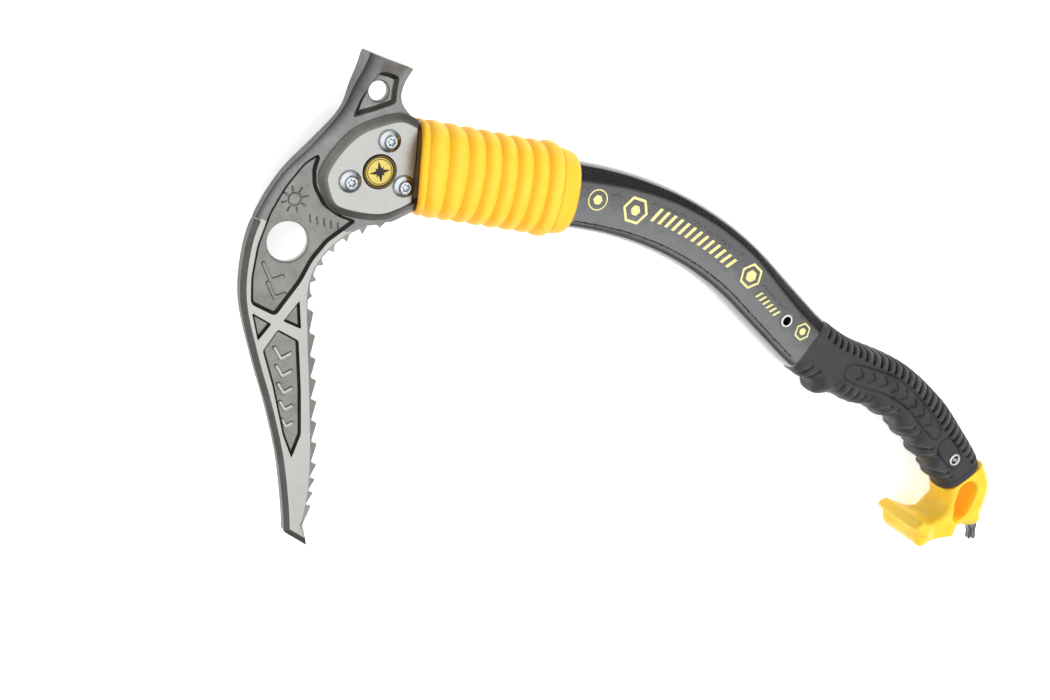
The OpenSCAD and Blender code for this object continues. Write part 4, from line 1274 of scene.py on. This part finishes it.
def make_grip():
    steps = np.arange(GRIP_START + 0.3, GRIP_END - 0.4, GRIP_STEP)
    s = np.r_[GRIP_START + 0.06, steps, GRIP_END - 0.2, GRIP_END]
    grown = ramp(s, GRIP_START, 310)
    half_t = TUBE_T + 0.15 + (GRIP_HALF_T - TUBE_T - 0.15) * grown
    half_w = 15.2 + 0.6 * (1 - ramp(s, 280, 310)) - 0.6 * ramp(s, 340, GRIP_END)
    sway = 0.9 * bump(s, 345, 32) - 0.9 * bump(s, 405, 26)
    power = TUBE_POWER + (2.5 - TUBE_POWER) * grown
    shrink = 0.9 * np.clip(1 - (s - GRIP_START) / 0.9, 0, 1) ** 2
    shrink = shrink + 0.6 * np.clip(1 - (GRIP_END - s) / 1.2, 0, 1) ** 2
    shrink = shrink + 0.6 * bump(s, GRIP_END - 3.6, 0.9)
    v, z = (np.array(q) for q in zip(*[superellipse(w, t, p, GRIP_SIDES)
                                       for w, t, p in zip(half_w, half_t, power)]))
    along = np.repeat(s[:, None], GRIP_SIDES, 1)
    form = finger_form(along, z, ramp(-v, 3, 10.5))
    plain_end = 1 - ramp(along, GRIP_END - 4.5, GRIP_END - 2.5)
    detail = grip_relief(along, v, z) * plain_end + panel_relief(along, v) * (z > 0)
    relief = detail + form * plain_end - shrink[:, None]
    reach = np.hypot(v, z)
    stretch = 1 + relief / reach
    rings = on_shaft(along, v * stretch + sway[:, None], z * stretch)
    inner = []
    for at in np.r_[np.arange(GRIP_END, GRIP_START + 4, -5.0), GRIP_START + 3.9, GRIP_START + 0.06]:
        w, t = (NECK_W, NECK_T) if at > GRIP_START + 4 else (TUBE_W - 2, TUBE_T - 1.4)
        iv, iz = superellipse(w, t, TUBE_POWER, GRIP_SIDES)
        inner.append(on_shaft(at, iv, iz))
    points, faces = skin(np.concatenate([rings, inner]), closed=True)
    # Tone for painted light: darker in the grooves, cuts and tucked-in ends as painted shade, lighter on the
    # ribs and finger swells.
    tone = np.r_[(detail + 0.12 * form - shrink[:, None]).ravel(), np.zeros(len(points) - relief.size)]
    obj = piece("lower_grip", points, faces, [GRIP], "black_rubber", ["lower_grip"], 60,
                flow=np.c_[points[:, :2], tone])
    bored(obj, *LOWER_EYELET)


# --- Pommel: one blended solid, meshed from its distance field --------------------------------

HEEL = rounded([(395, -113), (404, -104.5), (408.8, -108.8), (414.5, -113.6), (421.5, -122.5), (426.3, -133),
                (429.3, -143.5), (430.6, -150.5), (429.6, -154.8), (424, -156.4), (414.5, -155.6),
                (407.2, -164.4), (398.6, -161.6), (391, -158), (391, -150), (395.6, -143.5),
                (393.8, -136.4), (388.5, -128.6),
                (385, -124)], 3)
HORN = rounded([(406, -139), (396.2, -143.6), (392.4, -149.6), (385, -152.2), (376, -150.9), (368.2, -147.8),
                (364.4, -149.4), (364.6, -153.0), (370.0, -155.8), (372.0, -157.6), (372.8, -162.0),
                (376.2, -166.0), (381, -166.6), (390, -164.2), (398.6, -162), (406, -161)], 1.6)
HEEL_ROUND = 6.5
HEEL_NOTCHES = np.linspace(-134.6, -146.8, 5)   # heights of the heel's notches
NOTCH_HALF = 1.25
NOTCH_DEPTH = 1.5
HORN_ROUND = 2.3
HORN_HALF = 19.0
EYE = [(406.0, -131.6), (406.6, -145.0)]
EYE_R = 5.2
EYE_FLARE = 1.9
GRID = 0.55


def thick_outline(d, z, half, round_r):
    """Distance to a flat outline (d, negative inside) thickened to half each side, with rounded edges."""
    a = np.maximum(d + round_r, 0)
    b = np.maximum(np.abs(z) - (half - round_r), 0)
    return np.hypot(a, b) + np.minimum(np.maximum(d + round_r, np.abs(z) - (half - round_r)), 0) - round_r


def blended(a, b, k):
    """Smooth union of two distance fields."""
    h = np.clip(0.5 + 0.5 * (b - a) / k, 0, 1)
    return b + (a - b) * h - k * h * (1 - h)


def carved(a, b, k):
    """Field a with b taken away, with a soft edge."""
    return -blended(-a, b, k)


def pommel_field(x, y, z):
    flat = np.c_[x.ravel(), y.ravel()]
    shape = x.shape[:2]
    heel = -signed(flat, HEEL).reshape(shape)[:, :, None]
    horn = -signed(flat, HORN).reshape(shape)[:, :, None]
    slot = nearest(flat, EYE)[0].reshape(shape)[:, :, None] - EYE_R
    px, py = x[:, :, None], y[:, :, None]
    to_spike = ((px - 410) * 0.6 + (-130 - py) * 0.8) / 30
    heel_half = 11.6 - 4.1 * smooth((to_spike - 0.1) / 0.8)
    to_lip = smooth((392 - px) / 16)
    lower = smooth((-155.6 - py - 0.35 * (px - 372)) / 2.5)
    horn_half = 12.2 + (HORN_HALF - 12.2) * to_lip - 2.0 * lower * to_lip
    body = thick_outline(heel, z, heel_half, HEEL_ROUND)
    wing = thick_outline(horn, z, horn_half, HORN_ROUND)
    field = blended(body, wing, 4.5)
    funnel = slot - EYE_FLARE * smooth((np.abs(z) - 4) / 8)
    field = carved(field, funnel, 1.6)
    ripple = sum(bump(py, y, NOTCH_HALF) for y in HEEL_NOTCHES)
    field = field + NOTCH_DEPTH * ripple * smooth((px - 421) / 4)
    along, off, _ = along_spike(px, py, z)
    field = carved(field, np.maximum(off - SPIKE_R - 0.15, -along), 0.3)
    end_x, end_y, heading = (np.interp(GRIP_END, TRACK[0], t) for t in TRACK[1:])
    past_grip = (px - end_x) * math.cos(heading) + (py - end_y) * math.sin(heading)
    return np.maximum(field, 0.1 - past_grip)


def surface_net(field, corner, step):
    """Quads over the zero surface of a sampled field, one vertex in each cell that it crosses."""
    low = field < 0
    n = np.array(field.shape) - 1
    cells = [(i, j, k) for i in (0, 1) for j in (0, 1) for k in (0, 1)]

    def part(a, c):
        return a[c[0]:n[0] + c[0], c[1]:n[1] + c[1], c[2]:n[2] + c[2]]

    count = sum(part(low, c).astype(int) for c in cells)
    mixed = (count > 0) & (count < 8)
    total = np.zeros((*n, 3))
    hits = np.zeros(n)
    for a in cells:
        for axis in range(3):
            if a[axis]:
                continue
            b = tuple(a[q] + (q == axis) for q in range(3))
            fa, fb = part(field, a), part(field, b)
            crosses = (fa < 0) != (fb < 0)
            t = np.where(crosses, fa / np.where(crosses, fa - fb, 1), 0)
            spot = np.zeros((*n, 3)) + a
            spot[..., axis] += t
            total += spot * crosses[..., None]
            hits += crosses
    index = np.full(n, -1)
    index[mixed] = np.arange(mixed.sum())
    base = np.argwhere(mixed)
    points = corner + step * (base + total[mixed] / hits[mixed][:, None])
    faces = []
    for axis in range(3):
        u, v = (axis + 1) % 3, (axis + 2) % 3
        ahead = [slice(None)] * 3
        ahead[axis] = slice(1, None)
        here = [slice(None)] * 3
        here[axis] = slice(None, -1)
        change = low[tuple(here)] != low[tuple(ahead)]
        for cell in np.argwhere(change):
            if cell[u] == 0 or cell[v] == 0 or cell[u] > n[u] - 1 or cell[v] > n[v] - 1:
                continue
            ring = []
            for du, dv in ((0, 0), (1, 0), (1, 1), (0, 1)):
                c = cell.copy()
                c[u] -= du
                c[v] -= dv
                ring.append(index[tuple(c)])
            faces.append(ring if low[tuple(cell)] else ring[::-1])
    return points, faces


def make_pommel():
    xs = np.arange(363, 436, GRID)
    ys = np.arange(-169, -99, GRID)
    zs = np.arange(-20.6, 20.7, GRID)
    x, y = np.meshgrid(xs, ys, indexing="ij")
    field = pommel_field(x, y, zs[None, None, :])
    points, faces = surface_net(field, np.array([xs[0], ys[0], zs[0]]), GRID)
    slot = nearest(points[:, :2], EYE)[0] - EYE_R - EYE_FLARE
    # Painted shade inside the eye, strongest towards the middle of the thickness.
    shade = (1 - ramp(slot, -1.2, 0.4)) * (1 - 0.5 * ramp(np.abs(points[:, 2]), 6, 12))
    obj = piece("pommel", points, faces, [POMMEL], "yellow_plastic", ["pommel"], 60,
                flow=np.c_[points[:, :2], shade])
    relax = obj.modifiers.new("relax", "SMOOTH")
    relax.factor = 0.5
    relax.iterations = 4


# --- Spike ---------------------------------------------------------------------------------

SPIKE_TOP = np.array([418.8, -130.0])
SPIKE_TIP = np.array([432.2, -165.0])
SPIKE_R = 3.6
SPIKE_LENGTH = np.linalg.norm(SPIKE_TIP - SPIKE_TOP)
SPIKE_DIR = (SPIKE_TIP - SPIKE_TOP) / SPIKE_LENGTH


def along_spike(x, y, z):
    """Distance along the spike, away from its axis, and sideways in the plane."""
    dx, dy = x - SPIKE_TOP[0], y - SPIKE_TOP[1]
    along = dx * SPIKE_DIR[0] + dy * SPIKE_DIR[1]
    side = -dx * SPIKE_DIR[1] + dy * SPIKE_DIR[0]
    return along, np.hypot(side, z), side


def make_spike():
    """A fluted steel spike that ends in a ring of small points."""
    sides = 96
    a = np.arange(sides) * 2 * math.pi / sides
    flute = np.maximum(0, np.cos(6 * a)) ** 2
    stations = [(0.4, 0.3, 0, 0), (0, 2.9, 0, 0), (0.4, SPIKE_R, 0, 0), (22, SPIKE_R, 0, 0),
                (SPIKE_LENGTH - 10, SPIKE_R, 0, 0), (SPIKE_LENGTH - 8.4, SPIKE_R, 0.2, 0)]
    stations += [(SPIKE_LENGTH - 8 + t, 2.85 + 0.75 * (t / 3.4 - 1) ** 2, 0.75, 0)
                 for t in np.linspace(0.6, 5.6, 7)]
    stations += [(SPIKE_LENGTH - 1.6, 3.1, 0.8, 0), (SPIKE_LENGTH - 1, 3.0, 0.9, 0.9),
                 (SPIKE_LENGTH - 1, 1.9, 0.5, 0.8), (SPIKE_LENGTH - 2.2, 1.4, 0, 0),
                 (SPIKE_LENGTH - 2.6, 0.3, 0, 0)]
    rings = []
    for along, r, depth, points_h in stations:
        radius = r - depth * flute
        d = along + points_h * (1 - flute)
        side, z = radius * np.cos(a), radius * np.sin(a)
        rings.append(np.c_[SPIKE_TOP[0] + d * SPIKE_DIR[0] - side * SPIKE_DIR[1],
                           SPIKE_TOP[1] + d * SPIKE_DIR[1] + side * SPIKE_DIR[0], z])
    points, faces = skin(rings)
    piece("spike", points, faces, [SPIKE], "spike_steel", ["spike"], 30)


# --- Hidden pieces keep their CAD shapes -----------------------------------------------------


def paint_hidden():
    for node, material in (("head_block", ALUMINIUM), ("head_pins", ZINC), ("spike_pin", ZINC)):
        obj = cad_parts[node]
        obj.data.materials.clear()
        obj.data.materials.append(material)


# --- Floor, lights and camera ----------------------------------------------------------------

CAMERA_AT = (-238.7, 112.6, 614.8)
CAMERA_AIM = (95.67, -76.55, 0.0)
CAMERA_UP = (-0.0972, 0.9351, -0.3406)
LENS = 50
SENSOR = 36


def make_stage():
    floor = Nodes("floor", Base_Color=(0.86, 0.86, 0.86, 1), Roughness=0.8, Specular_IOR_Level=0.1,
                  Emission_Color=(1, 1, 1, 1), Emission_Strength=0.5).material
    mesh = bpy.data.meshes.new("floor")
    reach = 6.0
    corners = [(-reach, -reach, 0), (reach, -reach, 0), (reach, reach, 0), (-reach, reach, 0)]
    mesh.from_pydata(corners, [], [(0, 1, 2, 3)])
    mesh.materials.append(floor)
    obj = bpy.data.objects.new("floor", mesh)
    bpy.context.scene.collection.objects.link(obj)
    bpy.context.scene.world = studio()
    bpy.context.scene.view_settings.view_transform = "Standard"


# Brightness of the studio by the sine of the height above the floor: a soft box overhead, dark walls
STUDIO = [(0.0, 0.07), (0.5, 0.1), (0.74, 1.1), (1.0, 1.2)]


def studio():
    world = bpy.data.worlds.new("studio")
    world.use_nodes = True
    tree = world.node_tree
    coords = tree.nodes.new("ShaderNodeTexCoord")
    axes = tree.nodes.new("ShaderNodeSeparateXYZ")
    levels = tree.nodes.new("ShaderNodeValToRGB")
    tree.links.new(coords.outputs["Generated"], axes.inputs[0])
    tree.links.new(axes.outputs[2], levels.inputs["Fac"])
    tree.links.new(levels.outputs["Color"], tree.nodes["Background"].inputs["Color"])
    stops = levels.color_ramp.elements
    while len(stops) < len(STUDIO):
        stops.new(0.5)
    for stop, (at, level) in zip(stops, STUDIO):
        stop.position = at
        stop.color = (level, level, level, 1)
    return world


def area_light(name, at, aim, size, power):
    data = bpy.data.lights.new(name, "AREA")
    data.shape = "RECTANGLE"
    data.size, data.size_y = size
    data.energy = power
    obj = bpy.data.objects.new(name, data)
    obj.location = at
    obj.rotation_mode = "QUATERNION"
    obj.rotation_quaternion = (Vector(at) - Vector(aim)).to_track_quat("Z", "Y")
    obj.visible_glossy = False
    bpy.context.scene.collection.objects.link(obj)


def make_lights():
    area_light("key", (0.9, 0.6, 1.0), (0, 0, 0), (0.7, 0.7), 16)
    area_light("fill", (-0.6, -0.9, 1.2), (0, 0, 0), (1.0, 1.0), 4)
    area_light("side", (-0.35, -0.2, 0.4), (0.2, -0.1, 0.02), (0.5, 0.5), 0.7)


def make_camera():
    data = bpy.data.cameras.new("camera")
    data.lens = LENS
    data.sensor_width = SENSOR
    data.sensor_fit = "HORIZONTAL"
    obj = bpy.data.objects.new("camera", data)
    at, aim = Vector(place(CAMERA_AT)), Vector(place(CAMERA_AIM))
    back = (at - aim).normalized()
    right = Vector(CAMERA_UP).cross(back).normalized()
    up = back.cross(right)
    obj.matrix_world = Matrix.Translation(at) @ Matrix((right, up, back)).transposed().to_4x4()
    bpy.context.scene.collection.objects.link(obj)
    bpy.context.scene.camera = obj


make_pick()
for facing in (1, -1):
    make_cheek(facing)
    make_badge(facing)
make_bolts()
make_sleeve()
make_tube()
print_marks()
print_specks()
# The upper eyelet's hole is lined with painted shade.
make_eyelet("upper_eyelet", UPPER_EYELET, TUBE_T, BORE_SHADE)
make_eyelet("lower_eyelet", LOWER_EYELET, GRIP_HALF_T, ZINC)
make_grip()
make_pommel()
make_spike()
paint_hidden()
make_stage()
make_lights()
make_camera()
